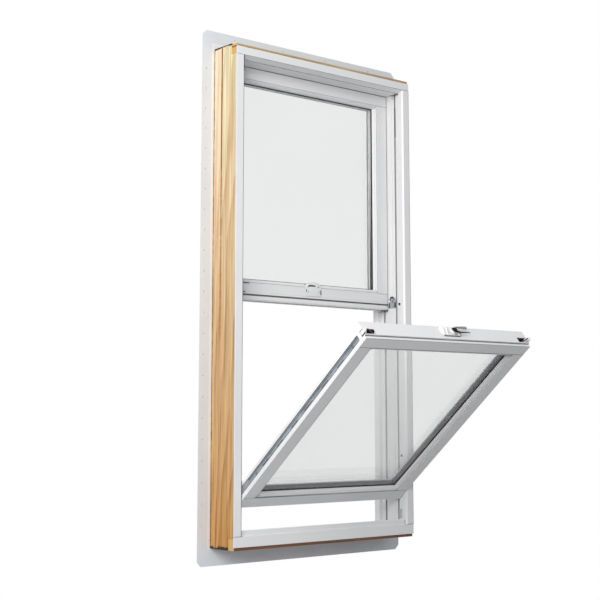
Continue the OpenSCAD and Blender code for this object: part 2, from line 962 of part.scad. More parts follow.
module lock_screws() {
    tops = [leaf_h + 7.2, leaf_h + 2.53];
    in_lower() color(steel)
        for (i = [0, 1])
            translate([lock_x - 27 + 54 * i, spindle_d, 0]) {
                translate([0, 0, leaf_h - 13])
                    cylinder(r = 1.5, h = tops[i] - leaf_h + 13.5,
                        $fn = 32);
                translate([0, 0, tops[i]])
                    cylinder(r = 3, h = 0.5, $fn = 32);
            }
}

// Lock lever: spindle, cam under the handle, and the handle.
module lock_lever() {
    in_lower() color(vinyl)
        translate([spindle_x, spindle_d, leaf_h]) {
            translate([0, 0, 0.3])
                cylinder(r = spindle_r, h = 10, $fn = 64);
            translate([0, 0, 3])
                cylinder(r = 8.5, h = 4, $fn = 64);
            translate([0, 0, 3])
                linear_extrude(4)
                    polygon([[-7, -4], [-9, -12], [-6, -19], [0, -23],
                        [4, -20], [7.5, -3]]);
            translate([0, 0, 8])
                cylinder(r = 8, h = 5.5, $fn = 64);
            translate([0, 0, 8])
                linear_extrude(5)
                    polygon([[0, -7], [22, -5.5], [handle_l - 6, -5],
                        [handle_l, -1], [handle_l, 3],
                        [handle_l - 5, 6], [22, 4.5], [0, 7]]);
        }
}

// One tilt latch, drawn back so that its tongue is inside the sash.
module latch() {
    color(grey) {
        block([sash_x - 32, latch_d - 3.2, leaf_h - 11.6],
            [sash_x - 0.5, latch_d + 3.2, leaf_h - 3]);
        block([sash_x - 28, latch_d - 5, leaf_h - 1.5],
            [sash_x - 14, latch_d + 6, leaf_h + 3]);
        block([sash_x - 26, latch_d - 2.6, leaf_h - 4],
            [sash_x - 16, latch_d + 2.6, leaf_h + 1]);
    }
}

module latch_left() {
    in_lower() mirror([1, 0, 0]) latch();
}

module latch_right() {
    in_lower() latch();
}

jamb_left();
jamb_right();
head_board();
sill_board();
head_trim();
stop_left();
stop_right();
sill_trim();
liner_left();
liner_right();
head_liner();
sub_sill();
cladding_left();
cladding_right();
cladding_head();
cladding_sill();
fin_left();
fin_right();
fin_top();
fin_bottom();
head_seal();
liner_screws();
meeting_guides();
balance_cases();
upper_top_rail();
upper_check_rail();
upper_stiles();
upper_beads();
upper_gasket();
upper_panes();
upper_spacer();
upper_edge_strips();
upper_pivots();
upper_shoes();
upper_end_pads();
upper_pile();
keeper();
keeper_screws();
lower_shoes();
lower_bottom_rail();
lower_check_rail();
lower_stiles();
lower_beads();
lower_gasket();
lower_panes();
lower_spacer();
lower_edge_strips();
lower_pivots();
sill_seal();
check_seal();
latch_housings();
lock_base();
lock_screws();
lock_lever();
latch_left();
latch_right();
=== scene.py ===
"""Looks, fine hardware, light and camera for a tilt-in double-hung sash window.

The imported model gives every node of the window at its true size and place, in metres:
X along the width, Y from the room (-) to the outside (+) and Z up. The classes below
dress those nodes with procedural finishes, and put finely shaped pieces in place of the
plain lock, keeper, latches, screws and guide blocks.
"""

import json
import logging
from dataclasses import dataclass
from enum import Enum
from typing import Callable, Sequence

import bpy
import numpy as np
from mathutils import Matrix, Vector


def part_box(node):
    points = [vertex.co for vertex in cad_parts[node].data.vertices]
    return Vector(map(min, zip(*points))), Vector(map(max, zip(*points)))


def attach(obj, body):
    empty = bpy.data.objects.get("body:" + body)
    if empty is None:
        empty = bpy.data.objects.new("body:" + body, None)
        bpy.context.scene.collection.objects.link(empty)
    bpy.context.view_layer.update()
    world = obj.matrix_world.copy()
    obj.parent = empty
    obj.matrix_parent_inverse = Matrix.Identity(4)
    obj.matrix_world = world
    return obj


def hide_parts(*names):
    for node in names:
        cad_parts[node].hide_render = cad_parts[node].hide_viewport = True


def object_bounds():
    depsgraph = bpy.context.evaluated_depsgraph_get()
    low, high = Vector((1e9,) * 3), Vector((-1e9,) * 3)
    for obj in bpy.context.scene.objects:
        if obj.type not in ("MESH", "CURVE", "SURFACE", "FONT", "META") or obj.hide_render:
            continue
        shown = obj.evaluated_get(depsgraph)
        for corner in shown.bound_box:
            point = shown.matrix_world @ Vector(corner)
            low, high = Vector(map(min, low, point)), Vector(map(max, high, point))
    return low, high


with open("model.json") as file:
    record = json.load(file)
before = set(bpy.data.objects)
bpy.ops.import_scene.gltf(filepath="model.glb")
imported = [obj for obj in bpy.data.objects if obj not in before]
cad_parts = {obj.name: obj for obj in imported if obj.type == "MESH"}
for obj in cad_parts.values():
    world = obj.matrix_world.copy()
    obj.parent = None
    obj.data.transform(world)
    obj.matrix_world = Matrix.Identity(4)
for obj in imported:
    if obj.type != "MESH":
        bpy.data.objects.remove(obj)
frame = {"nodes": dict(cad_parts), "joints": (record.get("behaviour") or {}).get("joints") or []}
cad_low, cad_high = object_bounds()

Array = np.ndarray
Rgb = tuple[float, float, float]
Point = tuple[float, float, float]
Solid = tuple[Array, list[tuple[int, ...]]]
NODES: dict[str, bpy.types.Object] = frame["nodes"]
log = logging.getLogger("window")

# The tilt pivot's depth from the sash's room face and rise from its bottom edge, in metres.
PIVOT_DEPTH, PIVOT_RISE = 0.0175, 0.005
# Directions that a strand's depth lies along.
ALONG_X, ALONG_Y = (1.0, 0.0, 0.0), (0.0, 1.0, 0.0)
# The leaning sash's height, up to its check rail's top, in metres.
LEAF = 0.656
# Half the width of a sash, and half the thickness of the thinnest joint line, in metres.
SASH_HALF, HAIRLINE = 0.2975, 0.0004
# Tones that more than one finish uses.
WHITE = (1.0, 1.0, 1.0, 1.0)
PALE_ALLOY = (0.93, 0.93, 0.94, 1.0)
PUNCHED_DARK = (0.02, 0.02, 0.025, 1.0)
# A rounded corner takes at most this share of each of its two sides.
MOST_OF_SIDE = 0.49
# How far a screw head's cross reaches, as a share of the head's radius.
CROSS_SPAN = 0.62
# A face whose normal leans further than this to one side counts as facing that side.
FACING = 0.7


# ---------------------------------------------------------------------------
# Node graphs
# ---------------------------------------------------------------------------


class Graph:
    """A short way to write a node tree: add a node, set its inputs, link the rest."""

    def __init__(self, tree: bpy.types.NodeTree) -> None:
        """Keeps the tree that nodes are added to.

        Args:
            tree: the material's or the group's node tree.
        """
        self.tree = tree

    def add(self, kind: str, inputs: dict | None = None, **props: object) -> bpy.types.Node:
        """Adds one node.

        Args:
            kind: the node's type name, without the ShaderNode prefix for shader nodes.
            inputs: values or output sockets, by input name or number.
            props: properties set on the node itself.

        Returns:
            The new node.
        """
        node = self.tree.nodes.new(kind if kind.startswith("Node") else f"ShaderNode{kind}")
        for key, value in props.items():
            setattr(node, key, value)
        self.fill(node, inputs or {})
        return node

    def fill(self, node: bpy.types.Node, inputs: dict) -> None:
        """Sets or links a node's inputs.

        Args:
            node: the node.
            inputs: values or output sockets, by input name or number.
        """
        for key, value in inputs.items():
            if isinstance(value, bpy.types.NodeSocket):
                self.tree.links.new(value, node.inputs[key])
            else:
                node.inputs[key].default_value = value

    def math(self, operation: str, *terms: object) -> bpy.types.NodeSocket:
        """Adds a Math node and returns its output.

        Args:
            operation: the node's operation, such as MULTIPLY.
            terms: its inputs in order, as numbers or sockets.

        Returns:
            The node's output socket.
        """
        return self.add("Math", dict(enumerate(terms)), operation=operation).outputs[0]

    def sums(self, value: object, factor: object, plus: object) -> bpy.types.NodeSocket:
        """Gives value * factor + plus, from two Math nodes.

        Args:
            value: a number or a socket.
            factor: what it is multiplied by.
            plus: what is added.

        Returns:
            The output socket.
        """
        return self.math("ADD", self.math("MULTIPLY", value, factor), plus)

    def object_point(self) -> bpy.types.NodeSocket:
        """Gives the point in the object's own coordinates."""
        return self.add("TexCoord").outputs["Object"]

    def split(self, vector: bpy.types.NodeSocket) -> Sequence[bpy.types.NodeSocket]:
        """Gives a vector's three parts."""
        return self.add("SeparateXYZ", {0: vector}).outputs

    def normal(self) -> Sequence[bpy.types.NodeSocket]:
        """Gives the three parts of the surface's normal."""
        return self.split(self.add("NewGeometry").outputs["Normal"])

    def span(self, value: bpy.types.NodeSocket, low: float, high: float) -> bpy.types.NodeSocket:
        """Maps a value to 0 at low and 1 at high."""
        return self.add("MapRange", {0: value, 1: low, 2: high}).outputs[0]

    def noise(self, point: bpy.types.NodeSocket, scale: float, detail: float) -> bpy.types.NodeSocket:
        """Gives rough noise, for ragged borders."""
        return self.add("TexNoise", {
            "Vector": point, "Scale": scale, "Detail": detail, "Roughness": 0.7}).outputs[0]

    def bump(self, height: bpy.types.NodeSocket, strength: float,
             distance: float) -> bpy.types.NodeSocket:
        """Gives the normal of a surface raised by a height."""
        node = self.add("Bump", {"Height": height, "Strength": strength, "Distance": distance})
        return node.outputs[0]

    def ramp(self, fac: bpy.types.NodeSocket,
             stops: Sequence[tuple[float, float]]) -> bpy.types.NodeSocket:
        """Adds a grey colour ramp.

        Args:
            fac: the value that is looked up.
            stops: position and grey level of each stop, in order.

        Returns:
            The ramp's colour output.
        """
        node = self.add("ValToRGB", {"Fac": fac})
        ramp = node.color_ramp
        while len(ramp.elements) < len(stops):
            ramp.elements.new(0.5)
        for element, (position, level) in zip(ramp.elements, stops):
            element.position, element.color = position, (level, level, level, 1.0)
        return node.outputs["Color"]

    def mix(self, fac: object, low: object, high: object) -> bpy.types.NodeSocket:
        """Mixes two colours.

        Args:
            fac: how much of the second colour, as a number or a socket.
            low: the first colour.
            high: the second colour.

        Returns:
            The mixed colour.
        """
        return self.add("Mix", {0: fac, 6: low, 7: high}, data_type="RGBA").outputs[2]


def rgba(colour: Rgb) -> tuple[float, float, float, float]:
    """Adds full opacity to a colour."""
    return (*colour, 1.0)


def new_group(
    name: str, takes: Sequence[tuple[str, str, object]], gives: Sequence[tuple[str, str]]
) -> tuple[Graph, bpy.types.Node, bpy.types.Node]:
    """Makes an empty shader node group with named sockets.

    Args:
        name: the group's name.
        takes: name, socket kind and default of each input.
        gives: name and socket kind of each output.

    Returns:
        The group's graph, its input node and its output node.
    """
    tree = bpy.data.node_groups.new(name, "ShaderNodeTree")
    for label, kind, default in takes:
        socket = tree.interface.new_socket(label, in_out="INPUT", socket_type=f"NodeSocket{kind}")
        if default is not None:
            socket.default_value = default
    for label, kind in gives:
        tree.interface.new_socket(label, in_out="OUTPUT", socket_type=f"NodeSocket{kind}")
    graph = Graph(tree)
    return graph, graph.add("NodeGroupInput"), graph.add("NodeGroupOutput")


def mottle_group() -> bpy.types.NodeTree:
    """Builds the slow tone drift and fine skin that moulded and painted faces share.

    Returns:
        The group: two tones blended by slow noise, a fine height and a roughness drift.
    """
    graph, start, end = new_group(
        "mottled_skin",
        [("Tone", "Color", WHITE), ("Second Tone", "Color", (0.9, 0.9, 0.9, 1)),
         ("Drift Scale", "Float", 6.0), ("Skin Scale", "Float", 900.0), ("Roughness", "Float", 0.4),
         ("Roughness Drift", "Float", 0.08)],
        [("Color", "Color"), ("Roughness", "Float"), ("Height", "Float")],
    )
    place = graph.object_point()
    slow = graph.add("TexNoise", {"Vector": place, "Scale": start.outputs["Drift Scale"], "Detail": 4.0})
    blend = graph.ramp(slow.outputs[0], [(0.35, 0.0), (0.68, 1.0)])
    fine = graph.add("TexNoise", {"Vector": place, "Scale": start.outputs["Skin Scale"], "Detail": 3.0})
    colour = graph.mix(blend, start.outputs["Tone"], start.outputs["Second Tone"])
    shift = graph.math("SUBTRACT", slow.outputs[0], 0.5)
    rough = graph.sums(shift, start.outputs["Roughness Drift"], start.outputs["Roughness"])
    graph.fill(end, {"Color": colour, "Roughness": rough, "Height": fine.outputs[0]})
    return graph.tree


def pine_group() -> bpy.types.NodeTree:
    """Builds planed pine: growth rings cut by the board, knots that bend them, and fibres.

    Ring number is the distance from a pith line beside the board, plus a slow lean along
    the board, over the ring spacing. The grain runs along the vector's Z. Noises that are
    stretched along the grain sway the rings and add fibres, streaks, bands and warm threads.

    Returns:
        The group: a colour, a roughness and a height.
    """
    seasonal = [(0.0, 0.0), (0.40, 0.12), (0.78, 0.75), (0.92, 1.0), (1.0, 0.0)]
    graph, start, end = new_group(
        "pine_grain",
        [("Vector", "Vector", None), ("Pith", "Vector", None),
         ("Early Wood", "Color", (0.8, 0.6, 0.4, 1)), ("Late Wood", "Color", (0.5, 0.3, 0.15, 1)),
         ("Knot", "Color", (0.2, 0.09, 0.04, 1)),
         ("Warm Patch", "Color", (0.6, 0.35, 0.25, 1)), ("Ring Spacing", "Float", 0.005),
         ("Ring Strength", "Float", 0.5), ("Lean", "Float", 0.02), ("Knot Spacing", "Float", 3.0)],
        [("Color", "Color"), ("Roughness", "Float"), ("Height", "Float")],
    )
    vector = start.outputs["Vector"]

    def stretched(across: float, along: float, detail: float) -> Sequence[bpy.types.NodeSocket]:
        """Samples noise that is drawn out along the grain."""
        place = graph.add("Mapping", {"Vector": vector, "Scale": (across, across, along)}).outputs[0]
        return graph.add("TexNoise", {"Vector": place, "Scale": 1.0, "Detail": detail}).outputs

    def vectors(operation: str, first: object, second: object) -> bpy.types.NodeSocket:
        """Works on two vectors, part by part."""
        return graph.add("VectorMath", {0: first, 1: second}, operation=operation).outputs[0]

    sway = vectors("SUBTRACT", stretched(7.0, 1.6, 3.0)["Color"], (0.5, 0.5, 0.5))
    sway = graph.add("VectorMath", {0: sway, "Scale": 0.014}, operation="SCALE").outputs[0]
    parts = graph.split(vectors("SUBTRACT", vectors("ADD", vector, sway), start.outputs["Pith"]))
    flat = graph.add("CombineXYZ", {0: parts[0], 1: parts[1], 2: 0.0}).outputs[0]
    radius = graph.add("VectorMath", {0: flat}, operation="LENGTH").outputs["Value"]
    radius = graph.sums(parts[2], start.outputs["Lean"], radius)

    knots = graph.add("Mapping", {"Vector": vector, "Scale": (1.0, 1.0, 0.42)}).outputs[0]
    cell = graph.add("TexVoronoi", {
        "Vector": knots, "Scale": start.outputs["Knot Spacing"], "Randomness": 1.0})
    away = cell.outputs["Distance"]
    near = graph.math("POWER", graph.math("SUBTRACT", 1.0, graph.math("MINIMUM", away, 1.0)), 9.0)
    core = graph.ramp(away, [(0.0, 1.0), (0.035, 0.8), (0.05, 0.0)])
    radius = graph.sums(near, 0.02, radius)
    ring = graph.math("FRACT", graph.math("DIVIDE", radius, start.outputs["Ring Spacing"]))
    late = graph.ramp(ring, seasonal)

    fibre, streak = stretched(900.0, 11.0, 4.0)[0], stretched(260.0, 4.5, 3.0)[0]
    band, patch = stretched(70.0, 1.6, 2.0)[0], stretched(16.0, 3.4, 2.0)[0]
    thread = stretched(150.0, 2.4, 2.0)[0]
    tone = graph.math("MULTIPLY", late, start.outputs["Ring Strength"])
    tone = graph.math("MULTIPLY", tone, graph.sums(patch, 1.2, 0.3))
    for noise, share in ((fibre, 1.1), (streak, 2.6), (band, 0.6)):
        tone = graph.sums(graph.math("SUBTRACT", noise, 0.47), share, tone)
    tone = graph.add("Clamp", {"Value": graph.math("ADD", tone, 0.06)}).outputs[0]
    wood = graph.mix(tone, start.outputs["Early Wood"], start.outputs["Late Wood"])
    warm = graph.math("MULTIPLY", graph.ramp(thread, [(0.50, 0.0), (0.62, 1.0)]), 0.55)
    wood = graph.mix(warm, wood, start.outputs["Warm Patch"])
    wood = graph.mix(graph.math("MULTIPLY", near, 0.5), wood, start.outputs["Late Wood"])
    graph.fill(end, {
        "Color": graph.mix(core, wood, start.outputs["Knot"]),
        "Roughness": graph.sums(fibre, 0.22, 0.52),
        "Height": graph.sums(late, 0.5, fibre)})
    return graph.tree


def dust_group() -> bpy.types.NodeTree:
    """Builds light workshop dust that lies on faces turned upwards.

    Returns:
        The group: the dusted colour and the roughness that goes with it.
    """
    graph, start, end = new_group(
        "settled_dust",
        [("Color", "Color", WHITE), ("Roughness", "Float", 0.4), ("Dust", "Color", (0.7, 0.68, 0.64, 1)),
         ("Amount", "Float", 0.15)],
        [("Color", "Color"), ("Roughness", "Float")],
    )
    place = graph.object_point()
    up = graph.ramp(graph.normal()[2], [(0.55, 0.0), (0.95, 1.0)])
    spots = graph.ramp(graph.noise(place, 42.0, 6.0), [(0.42, 0.0), (0.75, 1.0)])
    mask = graph.math("MULTIPLY", up, spots)
    mask = graph.math("MULTIPLY", mask, start.outputs["Amount"])
    graph.fill(end, {
        "Color": graph.mix(mask, start.outputs["Color"], start.outputs["Dust"]),
        "Roughness": graph.sums(mask, 0.6, start.outputs["Roughness"])})
    return graph.tree


class Effects:
    """The shared node groups, each built once."""

    def __init__(self) -> None:
        """Builds every group that more than one finish places."""
        self.mottle = mottle_group()
        self.pine = pine_group()
        self.dust = dust_group()


# ---------------------------------------------------------------------------
# Finishes
# ---------------------------------------------------------------------------


def blank_material(name: str) -> tuple[bpy.types.Material, Graph, bpy.types.Node]:
    """Makes a material with a Principled shader wired to its output.

    Args:
        name: the material's name.

    Returns:
        The material, its graph and its Principled node.
    """
    material = bpy.data.materials.new(name)
    material.use_nodes = True
    material.node_tree.nodes.clear()
    graph = Graph(material.node_tree)
    shader = graph.add("BsdfPrincipled")
    graph.add("OutputMaterial", {"Surface": shader.outputs[0]})
    return material, graph, shader


@dataclass(frozen=True)
class MouldedFinish:
    """Vinyl, nylon or rubber: two close tones, a fine skin and a little dust."""

    name: str
    tone: Rgb
    second: Rgb
    roughness: float
    drift: float = 6.0
    skin: float = 900.0
    bump: float = 0.06
    specular: float = 0.5
    coat: float = 0.0
    dust: float = 0.1
    metallic: float = 0.0
    coat_roughness: float = 0.12
    relief: float = 0.0004

    def build(self, effects: Effects) -> bpy.types.Material:
        """Builds the material.

        Args:
            effects: the shared node groups.

        Returns:
            The finished material.
        """
        material, graph, shader = blank_material(self.name)
        skin = graph.add("Group", {
            "Tone": rgba(self.tone), "Second Tone": rgba(self.second), "Drift Scale": self.drift,
            "Skin Scale": self.skin, "Roughness": self.roughness}, node_tree=effects.mottle).outputs
        dust = graph.add("Group", {
            "Color": skin["Color"], "Roughness": skin["Roughness"], "Amount": self.dust},
            node_tree=effects.dust).outputs
        graph.fill(shader, {
            "Base Color": dust["Color"], "Roughness": dust["Roughness"],
            "Normal": graph.bump(skin["Height"], self.bump, self.relief),
            "Specular IOR Level": self.specular, "Coat Weight": self.coat,
            "Coat Roughness": self.coat_roughness, "Metallic": self.metallic})
        return material


@dataclass(frozen=True)
class StainAndShadeBand:
    """A band of colour that follows one flat edge or cut of a board. Some bands are painted shade in saw
    kerfs and in gaps between parts; others are the wood's own discolouring.

    The mask fades with the distance from a plane across one axis, and a noise makes
    its border ragged.
    """

    axis: int
    at: float
    reach: float
    colour: Rgb
    ragged: float = 0.5
    above: float = -1.0
    fade_height: float = 0.12

    def over(self, graph: Graph, place: bpy.types.NodeSocket, colour: object) -> bpy.types.NodeSocket:
        """Lays the band over a colour.

        Args:
            graph: the material's graph.
            place: the object's own coordinates.
            colour: the colour under the band.

        Returns:
            The colour with the band laid over it.
        """
        parts = graph.split(place)
        noise = graph.noise(place, 38.0, 5.0)
        away = graph.math("ABSOLUTE", graph.math("SUBTRACT", parts[self.axis], self.at))
        away = graph.math("DIVIDE", away, self.reach)
        away = graph.sums(graph.math("SUBTRACT", noise, 0.5), 3 * self.ragged, away)
        mask = graph.ramp(away, [(0.5, 1.0), (1.0, 0.0)])
        fade = graph.span(parts[2], self.above - self.fade_height, self.above)
        return graph.mix(graph.math("MULTIPLY", mask, fade), colour, rgba(self.colour))


@dataclass(frozen=True)
class PineFinish:
    """Bare planed pine, with the grain along Z or along X and an end grain if it has one.

    The early and late wood each have a low and a high tone, blended along Z between
    the two levels. Beyond the rear plane the board is a second, rosier strip.
    """

    name: str
    early: tuple[Rgb, Rgb]
    late: tuple[Rgb, Rgb]
    knot: Rgb
    warm: Rgb
    pith: Point
    spacing: float
    ring_strength: float
    lean: float
    knot_spacing: float
    levels: tuple[float, float] = (-0.67, 0.67)
    along_x: bool = False
    rear_from: float = 1.0
    rear: Rgb = (0.5, 0.4, 0.3)
    rosy_levels: tuple[float, float] = (0.0, 0.45)
    rosy_share: float = 0.6
    end: Rgb | None = None
    end_share: float = 0.85
    stains_and_shade: tuple[StainAndShadeBand, ...] = ()
    bump: float = 0.25
    relief: float = 0.0005
    specular: float = 0.35

    def build(self, effects: Effects) -> bpy.types.Material:
        """Builds the material.

        Args:
            effects: the shared node groups.

        Returns:
            The finished material.
        """
        material, graph, shader = blank_material(self.name)
        here = graph.object_point()
        turn = (0.0, -np.pi / 2, 0.0) if self.along_x else (0.0, 0.0, 0.0)
        parts = graph.split(here)
        rise = graph.span(parts[2], *self.levels)
        rosy = graph.math("MULTIPLY", graph.math("GREATER_THAN", parts[1], self.rear_from),
                          graph.span(parts[2], *self.rosy_levels))
        tones = {}
        for label, (low, high) in (("Early Wood", self.early), ("Late Wood", self.late)):
            tone = graph.mix(rise, rgba(low), rgba(high))
            share = graph.math("MULTIPLY", rosy, self.rosy_share)
            tones[label] = graph.mix(share, tone, rgba(self.rear))
        pine = graph.add("Group", {
            "Vector": graph.add("Mapping", {"Vector": here, "Rotation": turn}).outputs[0], **tones,
            "Pith": self.pith, "Knot": rgba(self.knot), "Warm Patch": rgba(self.warm),
            "Ring Spacing": self.spacing, "Ring Strength": self.ring_strength, "Lean": self.lean,
            "Knot Spacing": self.knot_spacing}, node_tree=effects.pine).outputs
        colour = pine["Color"]
        if self.end:
            on_end = graph.math("GREATER_THAN", graph.math("ABSOLUTE", graph.normal()[0]), FACING)
            colour = graph.mix(on_end, colour, graph.mix(self.end_share, colour, rgba(self.end)))
        for edge_band in self.stains_and_shade:
            colour = edge_band.over(graph, here, colour)
        graph.fill(shader, {
            "Base Color": colour, "Roughness": pine["Roughness"],
            "Normal": graph.bump(pine["Height"], self.bump, self.relief),
            "Specular IOR Level": self.specular})
        return material


@dataclass(frozen=True)
class GlassFinish:
    """Clear float glass with a faint tint and wavering gloss."""

    name: str
    tint: Rgb
    fade: float = 0.985
    roughness: float = 0.012
    roughness_drift: float = 0.02
    ior: float = 1.45

    def build(self, effects: Effects) -> bpy.types.Material:
        """Builds the material; the glass keeps a plain Transmission Weight.

        Args:
            effects: the shared node groups.

        Returns:
            The finished material.
        """
        material, graph, shader = blank_material(self.name)
        skin = graph.add("Group", {
            "Tone": rgba(self.tint), "Second Tone": rgba(tuple(self.fade * c for c in self.tint)),
            "Drift Scale": 1.5, "Skin Scale": 5.0, "Roughness": self.roughness,
            "Roughness Drift": self.roughness_drift}, node_tree=effects.mottle).outputs
        graph.fill(shader, {
            "Base Color": skin["Color"], "Roughness": skin["Roughness"], "Transmission Weight": 1.0,
            "IOR": self.ior})
        return material


@dataclass(frozen=True)
class PunchedFinish:
    """Rolled spacer between the panes, with small punched slots.

    Up its sides the tone goes from the low one below to the high one higher up, as painted
    light and shade; on the upper spacer that makes it dark below and paler higher up. Where a
    node is named, what lies further back than front from that node's face is pale.
    """

    name: str
    low: Rgb
    high: Rgb
    pitch: float
    levels: tuple[float, float]
    node: str = ""
    front: float = 0.008
    bands_per_pitch: float = 3.2
    drift: float = 30.0
    roughness: float = 0.35
    metallic: float = 0.3
    dent: float = -0.4
    relief: float = 0.0004

    def build(self, effects: Effects) -> bpy.types.Material:
        """Builds the material.

        Args:
            effects: the shared node groups.

        Returns:
            The finished material.
        """
        material, graph, shader = blank_material(self.name)
        place = graph.object_point()
        parts = graph.split(place)
        sides = graph.math("GREATER_THAN", graph.math("ABSOLUTE", graph.normal()[0]), FACING)
        # Painted light and shade: on the sides, the low tone gives way to the high one with height.
        pale = graph.math("MULTIPLY", graph.span(parts[2], *self.levels), sides)
        tone = graph.mix(pale, rgba(self.low), rgba(self.high))
        skin = graph.add("Group", {
            "Tone": tone, "Second Tone": tone, "Drift Scale": self.drift, "Roughness": self.roughness},
            node_tree=effects.mottle).outputs
        scale = 1.0 / self.pitch / self.bands_per_pitch
        waves = graph.add("TexWave", {"Vector": place, "Scale": scale}, bands_direction="DIAGONAL")
        slots = graph.ramp(waves.outputs["Fac"], [(0.90, 0.0), (0.96, 0.4)])
        colour = graph.mix(slots, skin["Color"], PUNCHED_DARK)
        if self.node:
            room_face = float(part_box(self.node)[0][1])
            rear = graph.math("GREATER_THAN", parts[1], room_face + self.front)
            colour = graph.mix(rear, colour, PALE_ALLOY)
        graph.fill(shader, {
            "Base Color": colour, "Roughness": skin["Roughness"],
            "Normal": graph.bump(slots, self.dent, self.relief), "Metallic": self.metallic})
        return material


